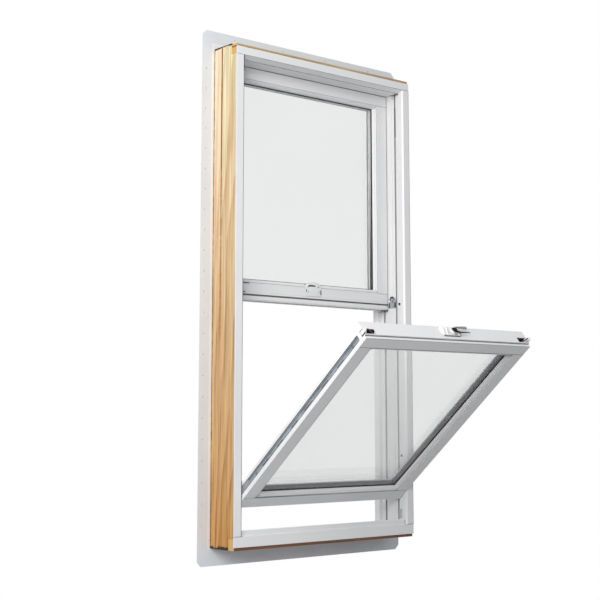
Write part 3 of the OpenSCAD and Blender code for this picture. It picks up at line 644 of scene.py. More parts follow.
class Finish(Enum):
    """Every finish on the window, named for what wears it."""

    JAMB_PINE = PineFinish(
        "jamb_pine", early=((0.59, 0.315, 0.085), (0.85, 0.78, 0.54)),
        late=((0.29, 0.095, 0.022), (0.54, 0.42, 0.22)),
        knot=(0.16, 0.07, 0.03), warm=(0.62, 0.33, 0.17), pith=(0.30, -0.140, 0.0), spacing=0.0045,
        ring_strength=0.65, lean=0.012, knot_spacing=2.4, rear_from=-0.034, rear=(0.80, 0.62, 0.46),
        # Bands, in order: painted shade in the saw kerf; a wider brown discolouring beside it, which
        # also widens the kerf's painted shade; painted shade in the gap at the rear, where the pine
        # meets the cladding; dark ragged bands along the top and bottom ends.
        stains_and_shade=(StainAndShadeBand(1, -0.0360, 0.0034, (0.16, 0.07, 0.03), 0.15, 0.33),
                StainAndShadeBand(1, -0.0360, 0.0036, (0.42, 0.19, 0.06), 0.9, -0.10),
                StainAndShadeBand(1, -0.0005, 0.0035, (0.08, 0.045, 0.025), 0.7),
                StainAndShadeBand(2, 0.6735, 0.0045, (0.03, 0.02, 0.012), 0.8),
                StainAndShadeBand(2, -0.6740, 0.0095, (0.035, 0.02, 0.01), 1.0)))
    HEAD_PINE = PineFinish(
        "head_pine", early=((0.62, 0.46, 0.23), (0.64, 0.50, 0.27)),
        late=((0.38, 0.25, 0.10), (0.39, 0.26, 0.11)),
        knot=(0.035, 0.02, 0.012), warm=(0.42, 0.22, 0.09), pith=(-0.656, -0.089, 0.0), spacing=0.0036,
        ring_strength=0.8, lean=0.004, knot_spacing=9.0, levels=(0.64, 0.672), along_x=True,
        # The band along the top is painted shade in the gap between the pine and the white head trim.
        end=(0.66, 0.38, 0.12), stains_and_shade=(StainAndShadeBand(2, 0.6640, 0.0018, (0.10, 0.05, 0.02), 0.9),))
    # The sill's tones are very dark: partly the wood's own dark colour, partly painted shade, as the
    # strip lies in shadow under the sill trim.
    SILL_PINE = PineFinish(
        "sill_pine", early=((0.20, 0.10, 0.05), (0.26, 0.15, 0.08)),
        late=((0.09, 0.04, 0.02), (0.12, 0.06, 0.03)),
        knot=(0.04, 0.02, 0.01), warm=(0.22, 0.07, 0.035), pith=(0.66, -0.07, 0.0), spacing=0.004,
        ring_strength=0.7, lean=0.004, knot_spacing=6.0, levels=(-0.674, -0.64), along_x=True,
        end=(0.72, 0.46, 0.19), stains_and_shade=(StainAndShadeBand(2, -0.6385, 0.0022, (0.30, 0.15, 0.06), 0.8),))
    TRIM_WHITE = MouldedFinish("trim_white", (0.80, 0.805, 0.815), (0.775, 0.78, 0.795), 0.36)
    SASH_WHITE = MouldedFinish("sash_white", (0.80, 0.805, 0.815), (0.77, 0.775, 0.79), 0.34)
    LINER_WHITE = MouldedFinish("liner_white", (0.79, 0.795, 0.80), (0.755, 0.76, 0.77), 0.38)
    # The cladding's whiter tone is partly its own and partly painted light, offsetting the shade that
    # the pine beside it casts.
    CLAD_WHITE = MouldedFinish("clad_white", (0.84, 0.84, 0.845), (0.80, 0.805, 0.81), 0.42, dust=0.15)
    # The fin's cool tone is partly its own lavender grey and partly painted light, cancelling the warm
    # light that the pine bounces onto it.
    FIN_WHITE = MouldedFinish(
        "fin_white", (0.72, 0.755, 0.80), (0.68, 0.715, 0.76), 0.5, drift=9.0, dust=0.0)
    LOCK_WHITE = MouldedFinish(
        "lock_white", (0.80, 0.80, 0.81), (0.76, 0.76, 0.78), 0.22, skin=500.0, bump=0.03, coat=0.4)
    NYLON_GREY = MouldedFinish("nylon_grey", (0.34, 0.36, 0.39), (0.24, 0.26, 0.29), 0.42, drift=24.0)
    GROOVE_GREY = MouldedFinish("groove_grey", (0.22, 0.25, 0.29), (0.38, 0.42, 0.47), 0.38, drift=18.0)
    # Black for the real seals and gaskets, and also for dark lines of painted shade: at the opening's
    # edges, in the lock's recess and along the sashes' channel edges.
    SEAL_AND_SHADE_BLACK = MouldedFinish(
        "seal_and_shade_black", (0.014, 0.014, 0.016), (0.03, 0.03, 0.032), 0.62, drift=30.0, bump=0.2, dust=0.2)
    STEEL = MouldedFinish(
        "zinc_steel", (0.55, 0.55, 0.56), (0.40, 0.40, 0.42), 0.3, drift=60.0, metallic=1.0, dust=0.05)
    SHADOW = MouldedFinish("joint_shadow", (0.15, 0.15, 0.165), (0.10, 0.10, 0.115), 0.7, drift=12.0)
    # Pitch black for the darkest painted shade: the keeper's mouth, the lock lever's dark arm and hub,
    # the latch trays, the guides' edges and the upper sash's gaps; also the liner screw heads.
    PITCH = MouldedFinish(
        "pitch_black", (0.012, 0.012, 0.014), (0.008, 0.008, 0.010), 0.8, specular=0.12, dust=0.0)
    GLASS = GlassFinish("float_glass", (0.905, 0.91, 0.91))
    LEVER_GREY = MouldedFinish(
        "lever_grey", (0.30, 0.30, 0.31), (0.21, 0.21, 0.22), 0.3, skin=500.0, bump=0.04, coat=0.3)
    RUST_BROWN = MouldedFinish(
        "rust_brown", (0.16, 0.075, 0.065), (0.09, 0.045, 0.04), 0.5, drift=60.0, bump=0.1)
    PILE_GREY = MouldedFinish(
        "pile_grey", (0.15, 0.145, 0.135), (0.10, 0.095, 0.09), 0.9, drift=40.0, bump=0.5)
    BURR_AND_SHADE = MouldedFinish("hole_burr_and_shade", (0.50, 0.49, 0.48), (0.42, 0.41, 0.40), 0.7, drift=40.0)
    # The spacers' low and high tones, blended up their sides, are painted light and shade.
    UPPER_SPACER = PunchedFinish(
        "upper_spacer", (0.016, 0.016, 0.024), (0.93, 0.94, 0.96), 0.006, (0.10, 0.46),
        "upper_spacer", 0.0065)
    LOWER_SPACER = PunchedFinish(
        "lower_spacer", (0.16, 0.155, 0.18), (0.10, 0.10, 0.115), 0.006, (-0.5, -0.2))


class Paintbox:
    """Builds each finish the first time that it is asked for."""

    def __init__(self) -> None:
        """Starts with the shared groups and no material."""
        self.effects = Effects()
        self.made: dict[Finish, bpy.types.Material] = {}

    def get(self, finish: Finish) -> bpy.types.Material:
        """Gives the material of a finish.

        Args:
            finish: which finish.

        Returns:
            Its material.
        """
        if finish not in self.made:
            self.made[finish] = finish.value.build(self.effects)
        return self.made[finish]

    def dress(self, finish: Finish, *names: str) -> None:
        """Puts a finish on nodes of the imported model.

        Args:
            finish: which finish.
            names: the nodes' names.
        """
        for name in names:
            piece = NODES[name]
            for entry in piece.material_slots:
                entry.material = self.get(finish)
            log.info("dressed %s in %s", name, finish.name.lower())


# ---------------------------------------------------------------------------
# Surfaces
# ---------------------------------------------------------------------------


@dataclass(frozen=True)
class Place:
    """A corner that local coordinates start from: x along the width, then out, then up."""

    origin: Point = (0.0, 0.0, 0.0)
    out: Point = (0.0, 1.0, 0.0)
    up: Point = (0.0, 0.0, 1.0)
    side: float = 1.0

    def put(self, local: Array) -> Array:
        """Turns local points into the window's own frame.

        The point is the origin, plus x times the side sign along the width, plus the
        second coordinate along out and the third along up.

        Args:
            local: points as an n by 3 array, in metres.

        Returns:
            The same points in the window's frame.
        """
        across = np.array([self.side, 0.0, 0.0])
        return np.array(self.origin) + np.outer(local[:, 0], across) + np.outer(
            local[:, 1], self.out) + np.outer(local[:, 2], self.up)

    def mirrored(self) -> "Place":
        """Gives the same place with x turned round."""
        return Place(self.origin, self.out, self.up, -self.side)


def capped(rows: int, columns: int) -> list[tuple[int, ...]]:
    """Numbers the quads between rings of points, and a face over each end ring.

    Args:
        rows: how many rings there are.
        columns: how many points each ring has; a ring closes on itself.

    Returns:
        The faces of a closed surface, as tuples of point numbers.
    """
    row, column = np.meshgrid(np.arange(rows - 1), np.arange(columns), indexing="ij")
    after = (column + 1) % columns
    near, far = row * columns, (row + 1) * columns
    quads = np.stack([near + column, near + after, far + after, far + column], axis=-1)
    return [*(tuple(quad) for quad in quads.reshape(-1, 4).tolist()), tuple(range(columns))[::-1],
            tuple(range(columns * (rows - 1), columns * rows))]


def fillet(corners: Sequence[tuple[float, float]], radius: float, steps: int = 5) -> Array:
    """Rounds the corners of an outline.

    Each corner becomes a quadratic curve from a point one radius before it, pulled
    towards the corner, to a point one radius after it.

    Args:
        corners: the outline's corners, anticlockwise.
        radius: how far each curve reaches along its two sides.
        steps: points on each curve.

    Returns:
        The rounded outline.
    """
    points = np.array(corners, float)
    before = np.roll(points, 1, axis=0) - points
    after = np.roll(points, -1, axis=0) - points
    first, last = (
        points + way / np.linalg.norm(way, axis=1)[:, None] * np.minimum(
            radius, MOST_OF_SIDE * np.linalg.norm(way, axis=1))[:, None] for way in (before, after))
    t = np.linspace(0.0, 1.0, steps)[None, :, None]
    curve = (1 - t) ** 2 * first[:, None] + 2 * t * (1 - t) * points[:, None] + t**2 * last[:, None]
    return curve.reshape(-1, 2)


def shrink(outline: Array, amount: float) -> Array:
    """Moves every point of an anticlockwise outline inwards along its own normal.

    Args:
        outline: the outline.
        amount: how far each point moves.

    Returns:
        The smaller outline.
    """
    along = np.roll(outline, -1, axis=0) - np.roll(outline, 1, axis=0)
    along /= np.maximum(np.linalg.norm(along, axis=1), 1e-12)[:, None]
    return outline + amount * np.stack([-along[:, 1], along[:, 0]], axis=1)


def slab(outline: Array, low: float, high: float, edge: float,
         axes: tuple[int, int, int] = (0, 1, 2)) -> Solid:
    """A flat piece with rounded edges.

    Rings of the outline are stacked from low to high: near each face the ring shrinks
    as a quarter circle of the edge radius.

    Args:
        outline: its outline, anticlockwise.
        low: height of the lower face.
        high: height of the upper face.
        edge: radius of the rounded edges.
        axes: which local axis each of the outline's two and the height goes to.

    Returns:
        The points and faces of a closed surface.
    """
    turn = np.linspace(0.0, np.pi / 2, 4)
    inset = edge * (1 - np.sin(turn))
    rise = edge * (1 - np.cos(turn))
    insets = np.concatenate([inset, inset[::-1]])
    heights = np.concatenate([low + rise, high - rise[::-1]])
    rings = [np.column_stack([shrink(outline, inset), np.full(len(outline), height)])
             for inset, height in zip(insets, heights)]
    points = np.concatenate(rings)
    faces = capped(len(rings), len(outline))
    order = np.empty(3, int)
    order[list(axes)] = [0, 1, 2]
    if np.linalg.det(np.eye(3)[list(axes)]) < 0:
        faces = [face[::-1] for face in faces]
    return points[:, order], faces


def swell(low: tuple[float, float], high: tuple[float, float], base: float,
          top: Callable[[Array, Array], Array], counts: tuple[int, int] = (40, 24)) -> Solid:
    """A raised block whose top is a height function, closed by a skirt and a base.

    Point (u, v) of the top lies at low + (u, v) * (high - low), at height top(x, y).
    The outermost ring repeats the border at the base height.

    Args:
        low: the block's low x and depth.
        high: the block's high x and depth.
        base: the height of its base.
        top: gives the height from x and depth.
        counts: points along x and depth.

    Returns:
        The points and faces of a closed surface.
    """
    nx, ny = counts
    x = np.linspace(low[0], high[0], nx)
    y = np.linspace(low[1], high[1], ny)
    x, y = np.pad(x, 1, mode="edge"), np.pad(y, 1, mode="edge")
    gx, gy = np.meshgrid(x, y, indexing="ij")
    height = top(gx, gy)
    height[[0, -1], :] = base
    height[:, [0, -1]] = base
    points = np.stack([gx, gy, height], axis=-1).reshape(-1, 3)
    i, j = np.meshgrid(np.arange(nx + 1), np.arange(ny + 1), indexing="ij")
    width = ny + 2
    first = i * width + j
    quads = np.stack([first, first + width, first + width + 1, first + 1], axis=-1)
    faces = [tuple(quad) for quad in quads.reshape(-1, 4).tolist()]
    rim = np.concatenate([
        np.arange(width), np.arange(1, nx + 2) * width + width - 1,
        (nx + 1) * width + np.arange(width - 2, -1, -1), np.arange(nx, 0, -1) * width])
    faces.append(tuple(int(k) for k in rim))
    return points, faces


def turned(profile: Sequence[tuple[float, float]], around: int = 40,
           recess: float = 0.0, arm: float = 0.0) -> Solid:
    """A turned piece about the local up axis, with a cross recess if asked.

    Point (u, v) is the profile's radius and height at u, turned by v. Inside the
    cross, whose arms are as wide as arm, the height drops by recess.

    Args:
        profile: radius and height from the bottom edge to the top's middle.
        around: points round each ring.
        recess: depth of the cross.
        arm: half width of the cross's arms.

    Returns:
        The points and faces of a closed surface.
    """
    rings = np.array(profile, float)
    angle = np.linspace(0.0, 2 * np.pi, around, endpoint=False)
    x = rings[:, :1] * np.cos(angle)
    y = rings[:, :1] * np.sin(angle)
    z = np.repeat(rings[:, 1:], around, axis=1)
    if recess:
        reach = CROSS_SPAN * rings[:, 0].max()
        inside = (np.minimum(abs(x), abs(y)) < arm) & (np.hypot(x, y) < reach)
        z = np.where(inside & (z > rings[:, 1].min() + 1e-9), z - recess, z)
    points = np.stack([x, y, z], axis=-1).reshape(-1, 3)
    return points, capped(len(rings), around)


def strand(path: Sequence[Point] | Array, across: float | Array = HAIRLINE,
           deep: float | Array = HAIRLINE, lift: Point = (0.0, 0.0, 1.0), around: int = 8) -> Solid:
    """A round-edged strand carried along a path.

    Ring point v at path point p is p + across * cos(v) * side + deep * sin(v) * lift,
    where side stands square to the path and to lift.

    Args:
        path: the points that it follows.
        across: half its width, or half the width at each point.
        deep: half its depth along lift, or half the depth at each point.
        lift: the direction of its depth.
        around: points round each ring.

    Returns:
        The points and faces of a closed surface.
    """
    line = np.array(path, float)
    along = np.gradient(line, axis=0)
    side = np.cross(np.array(lift, float), along)
    side /= np.linalg.norm(side, axis=1)[:, None]
    angle = np.linspace(0.0, 2 * np.pi, around, endpoint=False)
    wide = np.broadcast_to(np.asarray(across, float), (len(line),))[:, None] * np.cos(angle)
    high = np.broadcast_to(np.asarray(deep, float), (len(line),))[:, None] * np.sin(angle)
    rings = line[:, None] + wide[:, :, None] * side[:, None] + high[:, :, None] * np.array(lift, float)
    return rings.reshape(-1, 3), capped(len(line), around)


def between(start: Point, stop: Point, count: int = 2) -> Array:
    """Gives evenly spaced points from start to stop."""
    return np.linspace(start, stop, count)


def column_at(x: float | Array, y: float | Array, z: Array) -> Array:
    """Gives points at the heights z, all at x and y."""
    return np.column_stack([np.broadcast_to(x, z.shape), np.broadcast_to(y, z.shape), z])


def rings_at(centres: Array, radius: Array, thick: float, around: int = 12, tube: int = 6) -> Solid:
    """Small closed rings in planes across Y, one at each centre.

    Point (u, v) of a ring is its centre plus (radius + thick * cos(v)) round the angle u
    in X and Z, and thick * sin(v) in Y.

    Args:
        centres: the rings' centres, n by 3.
        radius: each ring's radius.
        thick: half the thickness of the rings.
        around: points round each ring.
        tube: points round the section.

    Returns:
        The points and faces of all the rings.
    """
    u = np.linspace(0.0, 2 * np.pi, around, endpoint=False)[None, :, None]
    v = np.linspace(0.0, 2 * np.pi, tube, endpoint=False)[None, None, :]
    reach = radius[:, None, None] + thick * np.cos(v)
    x = centres[:, 0, None, None] + reach * np.cos(u)
    y = centres[:, 1, None, None] + thick * np.sin(v) + 0 * u
    z = centres[:, 2, None, None] + reach * np.sin(u)
    points = np.stack([x, np.broadcast_to(y, x.shape), z], axis=-1).reshape(-1, 3)
    n, i, j = np.meshgrid(np.arange(len(centres)), np.arange(around), np.arange(tube), indexing="ij")
    start, i2, j2 = n * around * tube, (i + 1) % around, (j + 1) % tube
    quads = np.stack([start + i * tube + j, start + i2 * tube + j, start + i2 * tube + j2,
                      start + i * tube + j2], axis=-1)
    return points, [tuple(quad) for quad in quads.reshape(-1, 4).tolist()]


def joined(*solids: Solid) -> Solid:
    """Puts several surfaces into one mesh, as separate shells.

    Args:
        solids: the surfaces.

    Returns:
        The points and faces of all of them.
    """
    faces, start = [], 0
    for points, own in solids:
        faces += [tuple(number + start for number in face) for face in own]
        start += len(points)
    return np.concatenate([points for points, _ in solids]), faces


def moved(solid: Solid, by: Point) -> Solid:
    """Shifts a surface in its local axes."""
    return solid[0] + np.array(by), solid[1]


def on_liner(solid: Solid, side: int, face: float, y: float = 0.0, z: float = 0.0) -> Solid:
    """Stands a surface on a jamb liner, so that its height points into the opening.

    The local axes x and y become depth and height, and the local height is taken off
    the liner's distance from the middle.

    Args:
        solid: the surface.
        side: -1 for the left liner, 1 for the right one.
        face: the liner face's distance from the middle.
        y: depth of the surface's local zero.
        z: height of the surface's local zero.

    Returns:
        The points and faces in the window's own frame.
    """
    points, faces = solid
    world = np.column_stack([side * (face - points[:, 2]), y + points[:, 0], z + points[:, 1]])
    return world, faces if side < 0 else [ring[::-1] for ring in faces]


def leaning_place() -> Place:
    """Finds the lower sash's bottom edge, from its tilt and lock joints.

    Returns:
        The place whose up runs up the leaning sash and whose out runs away from the room.
    """
    joints = {joint["name"]: joint for joint in frame["joints"]}
    up = -np.array(joints["lock_turn"]["axis"], float)
    out = np.array([0.0, up[2], -up[1]])
    pivot = np.array(joints["lower_tilt"]["pos_m"], float)
    origin = np.array([0.0, pivot[1], pivot[2]]) - PIVOT_DEPTH * out - PIVOT_RISE * up
    return Place(tuple(origin), tuple(out), tuple(up))


def upright_place() -> Place:
    """Finds the bottom edge of the upper sash's room face."""
    low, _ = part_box("upper_check_rail")
    return Place((0.0, float(low[1]), float(low[2])))


def raised(place: Place, height: float) -> Place:
    """Gives the place shifted up its own up axis."""
    origin = np.array(place.origin) + height * np.array(place.up)
    return Place(tuple(origin), place.out, place.up, place.side)


class Workshop:
    """Turns surfaces into named pieces that ride on the window's bodies."""

    def __init__(self, paint: Paintbox) -> None:
        """Keeps the finishes.

        Args:
            paint: where materials come from.
        """
        self.paint = paint

    def piece(self, name: str, solid: Solid, place: Place, finish: Finish, body: str, like: str,
              stands_for: bool = False, smooth: float = 35.0) -> None:
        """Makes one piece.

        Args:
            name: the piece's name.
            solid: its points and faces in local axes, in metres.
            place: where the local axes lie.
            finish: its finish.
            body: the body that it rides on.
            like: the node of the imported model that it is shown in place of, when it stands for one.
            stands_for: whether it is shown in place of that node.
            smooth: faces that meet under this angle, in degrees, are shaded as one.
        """
        points, faces = solid
        world = place.put(points)
        turned_over = np.linalg.det(np.array([[place.side, 0, 0], place.out, place.up])) < 0
        mesh = bpy.data.meshes.new(name)
        mesh.from_pydata(world.tolist(), [], [face[::-1] for face in faces] if turned_over else faces)
        mesh.materials.append(self.paint.get(finish))
        mesh.polygons.foreach_set("use_smooth", np.ones(len(mesh.polygons), bool))
        mesh.set_sharp_from_angle(angle=float(np.radians(smooth)))
        mesh.update()
        piece = bpy.data.objects.new(name, mesh)
        bpy.context.scene.collection.objects.link(piece)
        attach(piece, body)
        if stands_for:
            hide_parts(like)
        log.info("built %s, %d faces", name, len(faces))


# ---------------------------------------------------------------------------
# Sub-assemblies
# ---------------------------------------------------------------------------


@dataclass
class PineFrame:
    """The bare pine: two side jambs, a head and a sill."""

    shop: Workshop
    jambs: tuple[str, str] = ("jamb_left", "jamb_right")
    head: str = "head_board"
    sill: str = "sill_board"

    def build(self) -> None:
        """Dresses the pine with its grain along each board."""
        paint = self.shop.paint
        paint.dress(Finish.JAMB_PINE, *self.jambs)
        paint.dress(Finish.HEAD_PINE, self.head)
        paint.dress(Finish.SILL_PINE, self.sill)


@dataclass
class WhiteShell:
    """The white faces and vinyl round the pine, the fin, and the joints between them."""

    shop: Workshop
    trim: tuple[str, ...] = ("head_trim", "stop_left", "stop_right", "sill_trim")
    liners: tuple[str, ...] = ("liner_left", "liner_right", "head_liner", "sub_sill")
    cladding: tuple[str, ...] = ("cladding_left", "cladding_right", "cladding_head", "cladding_sill")
    fins: tuple[str, ...] = ("fin_left", "fin_right", "fin_top", "fin_bottom")
    hole_pitch: float = 0.056
    hole_inset: float = 0.0125
    hole_margin: float = 0.056
    hole_radius: float = 0.0016
    end_hole_radius: float = 0.0025
    chamfer: tuple[float, float] = (0.0008, 0.0050)

    def build(self) -> None:
        """Dresses the white parts and lays their joint lines, painted edge shade and hole rims."""
        paint = self.shop.paint
        paint.dress(Finish.TRIM_WHITE, *self.trim)
        paint.dress(Finish.LINER_WHITE, *self.liners)
        paint.dress(Finish.CLAD_WHITE, *self.cladding)
        paint.dress(Finish.FIN_WHITE, *self.fins)
        self.lay_joints()
        self.lay_edges()
        self.rim_holes()

    def lay_joints(self) -> None:
        """Lays the shadow lines where the facings meet."""
        (inner, face, foot), (edge, back, top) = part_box("stop_right")
        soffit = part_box("head_liner")[0][2]
        lines = []
        for side in (-1, 1):
            bow = 0.0012 * np.sin(np.linspace(0, np.pi, 9)) * (side > 0)
            upper = between((side * edge, face, top), (side * inner, face, top), 9)
            upper[:, 2] += bow
            lower = between((side * edge, face, foot), (side * inner, face, foot))
            x, y = side * (inner - 0.0005), face + 0.0085
            gap = between((x, y, foot), (x, y, foot + 0.0125))
            lines += [strand(upper, 0.0005, 0.0005), strand(lower, 0.0007, 0.0006),
                      strand(gap, 0.0011, 0.0011, ALONG_Y)]
        lines.append(strand(between((-inner, face, top), (inner, face, top))))
        lines.append(strand(between((-inner, back, soffit), (inner, back, soffit)), 0.0005, 0.0005))
        self.shop.piece("facing_joints", joined(*lines), Place(), Finish.SHADOW, "frame", "sill_seal")

    def lay_edges(self) -> None:
        """Lays painted shade as dark lines down the opening and over the liners, and paler shadow lines.
        """
        (inner, face, foot), (outer, _, top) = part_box("stop_right")
        x, y = -(inner - self.chamfer[0]), face + self.chamfer[1]
        dark = []
        for low, high, radius in ((top - 0.043, top, 0.0016), (-0.022, 0.030, 0.0010),
                                  (foot + 0.098, foot + 0.142, 0.0014)):
            z = np.linspace(low, high, 12)
            wander = radius * (1.0 + 0.12 * np.sin(z * 310.0))
            dark.append(strand(column_at(x, y, z), wander, wander, ALONG_Y))
        pale = [strand(between((a, b, foot), (a, b, top)), 0.0008, 0.0008, ALONG_Y)
                for a, b in ((x, y), (outer, face + 0.0005))]
        lip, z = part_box("liner_right")[0][0] + 0.0018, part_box("liner_right")[1][2]
        for start, stop in ((-0.084, -0.062), (-0.052, -0.036)):
            arch = between((lip, start, z - 0.004), (lip, stop, z - 0.004), 11)
            arch[:, 2] += 0.0035 * np.sin(np.linspace(0, np.pi, 11)) ** 0.5
            post = between((lip, stop, z - 0.014), (lip, stop, z - 0.003))
            dark += [strand(arch, 0.0009, 0.0007), strand(post, 0.0007, 0.0007, ALONG_Y)]
        # Both sets of lines are painted shade; the dark ones wear the black that the seals share.
        for name, lines, finish in (("opening_edge_shade", dark, Finish.SEAL_AND_SHADE_BLACK),
                                    ("opening_edge_pale", pale, Finish.SHADOW)):
            self.shop.piece(name, joined(*lines), Place(), finish, "frame", "sill_seal")

    def rim_holes(self) -> None:
        """Puts a thin grey ring round each nail hole of the fin: a burr, and painted shade of the hole.
        """
        (_, face, _), (edge, _, _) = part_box("fin_right")
        low, high = (corner[2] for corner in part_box("jamb_right"))
        x = edge - self.hole_inset
        count = int((high - low - 2 * self.hole_margin) / self.hole_pitch + 1e-6)
        z = (low + high - count * self.hole_pitch) / 2 + self.hole_pitch * np.arange(count + 1)
        radius = np.full(count + 1, self.hole_radius)
        radius[[0, -1]] = self.end_hole_radius
        across = np.array([-0.73, -0.23, 0.23, 0.73]) * (x - 0.003)
        levels = (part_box("fin_top")[1][2] - self.hole_inset,
                  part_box("fin_bottom")[0][2] + self.hole_inset)
        centres = [column_at(side * x, face, z) for side in (-1, 1)]
        centres += [column_at(across, face, np.full(4, level)) for level in levels]
        radii = np.concatenate([radius, radius, np.full(8, self.hole_radius)])
        # The grey rings are burrs and also painted shade that darkens each hole.
        rims = rings_at(np.concatenate(centres), radii - 0.0002, 0.0006)
        self.shop.piece("nail_hole_rims", rims, Place(), Finish.BURR_AND_SHADE, "frame", "fin_left")


@dataclass
class Sash:
    """One glazed sash."""

    shop: Workshop
    prefix: str
    body: str
    spacer: Finish
    place: Place
    bottom_rail: float
    top_joint: float
    half: float = SASH_HALF
    stile: float = 0.038
    bead: float = 0.011

    def build(self) -> None:
        """Dresses the sash's rails, glazing and channels, and lays its joint lines."""
        rails = [name for name in NODES
                 if name.startswith(self.prefix) and name.endswith(("_rail", "_stiles", "_beads"))]
        self.shop.paint.dress(Finish.SASH_WHITE, *rails)
        for finish, names in (
                (Finish.GLASS, ["panes"]), (self.spacer, ["spacer"]), (Finish.SEAL_AND_SHADE_BLACK, ["gasket"]),
                (Finish.GROOVE_GREY, ["edge_strips"]), (Finish.NYLON_GREY, ["pivots", "shoes"])):
            self.shop.paint.dress(finish, *(f"{self.prefix}_{name}" for name in names))
        self.lay_joints()
        self.line_grooves()

    def lay_joints(self) -> None:
        """Lays the shadow lines between rails, stiles and bead corners."""
        inner, bead = self.half - self.stile, self.bead
        low, high = self.bottom_rail, self.top_joint
        lines = []
        for side in (-1, 1):
            for level, step in ((low, 1), (high, -1)):
                lines.append(strand(between((side * inner, 0.0, level), (side * self.half, 0.0, level)),
                                    HAIRLINE, 0.0005))
                corner = between((side * inner, 0.0003, level),
                                 (side * (inner - bead), 0.0016, level + step * bead), 4)
                lines.append(strand(corner, 0.0003, HAIRLINE, ALONG_Y))
        if self.prefix == "lower":
            run = between((-inner, 0.0, low), (inner, 0.0, low), 40)
            taper = np.interp(run[:, 0], [-inner, 0.0, inner], [0.0011, 0.0006, 0.0005])
            lines.append(strand(run, taper, taper))
            lines.append(strand(between((-inner, 0.0, high), (inner, 0.0, high))))
            # Two lines along the step at the check rail's top.
            lines.append(strand(between((-0.2960, 0.0086, 0.6514), (0.2960, 0.0086, 0.6514)),
                                0.0011, 0.0011))
            lines.append(strand(between((-0.2970, 0.0002, 0.6508), (0.2970, 0.0002, 0.6508))))
        self.lay("sash_joints", lines, Finish.SHADOW)

    def lay(self, name: str, solids: Sequence[Solid], finish: Finish, like: str = "") -> None:
        """Makes one piece of the sash.

        Args:
            name: the piece's name without the sash's.
            solids: the surfaces that it is joined from.
            finish: its finish.
            like: the node handed on to the piece, if not the sash's gasket; the piece stands for no
                node, so it changes nothing.
        """
        self.shop.piece(f"{self.prefix}_{name}", joined(*solids), self.place, finish, self.body,
                        like or f"{self.prefix}_gasket")

    def line_grooves(self) -> None:
        """Lays painted shade along the channel edges, with the channels' fixing screws and slots."""
        top = self.top_joint + 0.010
        edge_shades, heads, slots = [], [], []
        bulge = 0.0030 * np.sqrt(np.clip(1 - np.linspace(-1, 1, 5) ** 2, 0.02, 1))
        for side in (-1, 1):
            x = side * (self.half - 0.0003)
            # Painted shade along the channel's two edges.
            for depth in (0.0120, 0.0270):
                edge_shades.append(strand(between((x, depth, 0.002), (x, depth, top)), 0.0008, 0.0006, ALONG_X))
            for level in (0.118, 0.37, top - 0.03):
                seat, face = x - side * 0.0062, x - side * 0.0046
                bulb = between((seat, 0.0195, level - 0.004), (seat, 0.0195, level + 0.004), 5)
                heads.append(strand(bulb, bulge, 0.0016, ALONG_X))
                cut = between((face, 0.0175, level - 0.0016), (face, 0.0215, level + 0.0016))
                slots.append(strand(cut, 0.0006, HAIRLINE))
            x -= side * 0.0060
            for start in np.arange(0.15, top - 0.06, 0.075):
                slots.append(strand(between((x, 0.0195, start), (x, 0.0195, start + 0.030)),
                                    0.0012, 0.0006, ALONG_X))
        self.lay("channel_edge_shade", edge_shades, Finish.SEAL_AND_SHADE_BLACK)
        self.lay("channel_slots", slots, Finish.SEAL_AND_SHADE_BLACK)
        self.lay("channel_screws", heads, Finish.STEEL, "lock_screws")


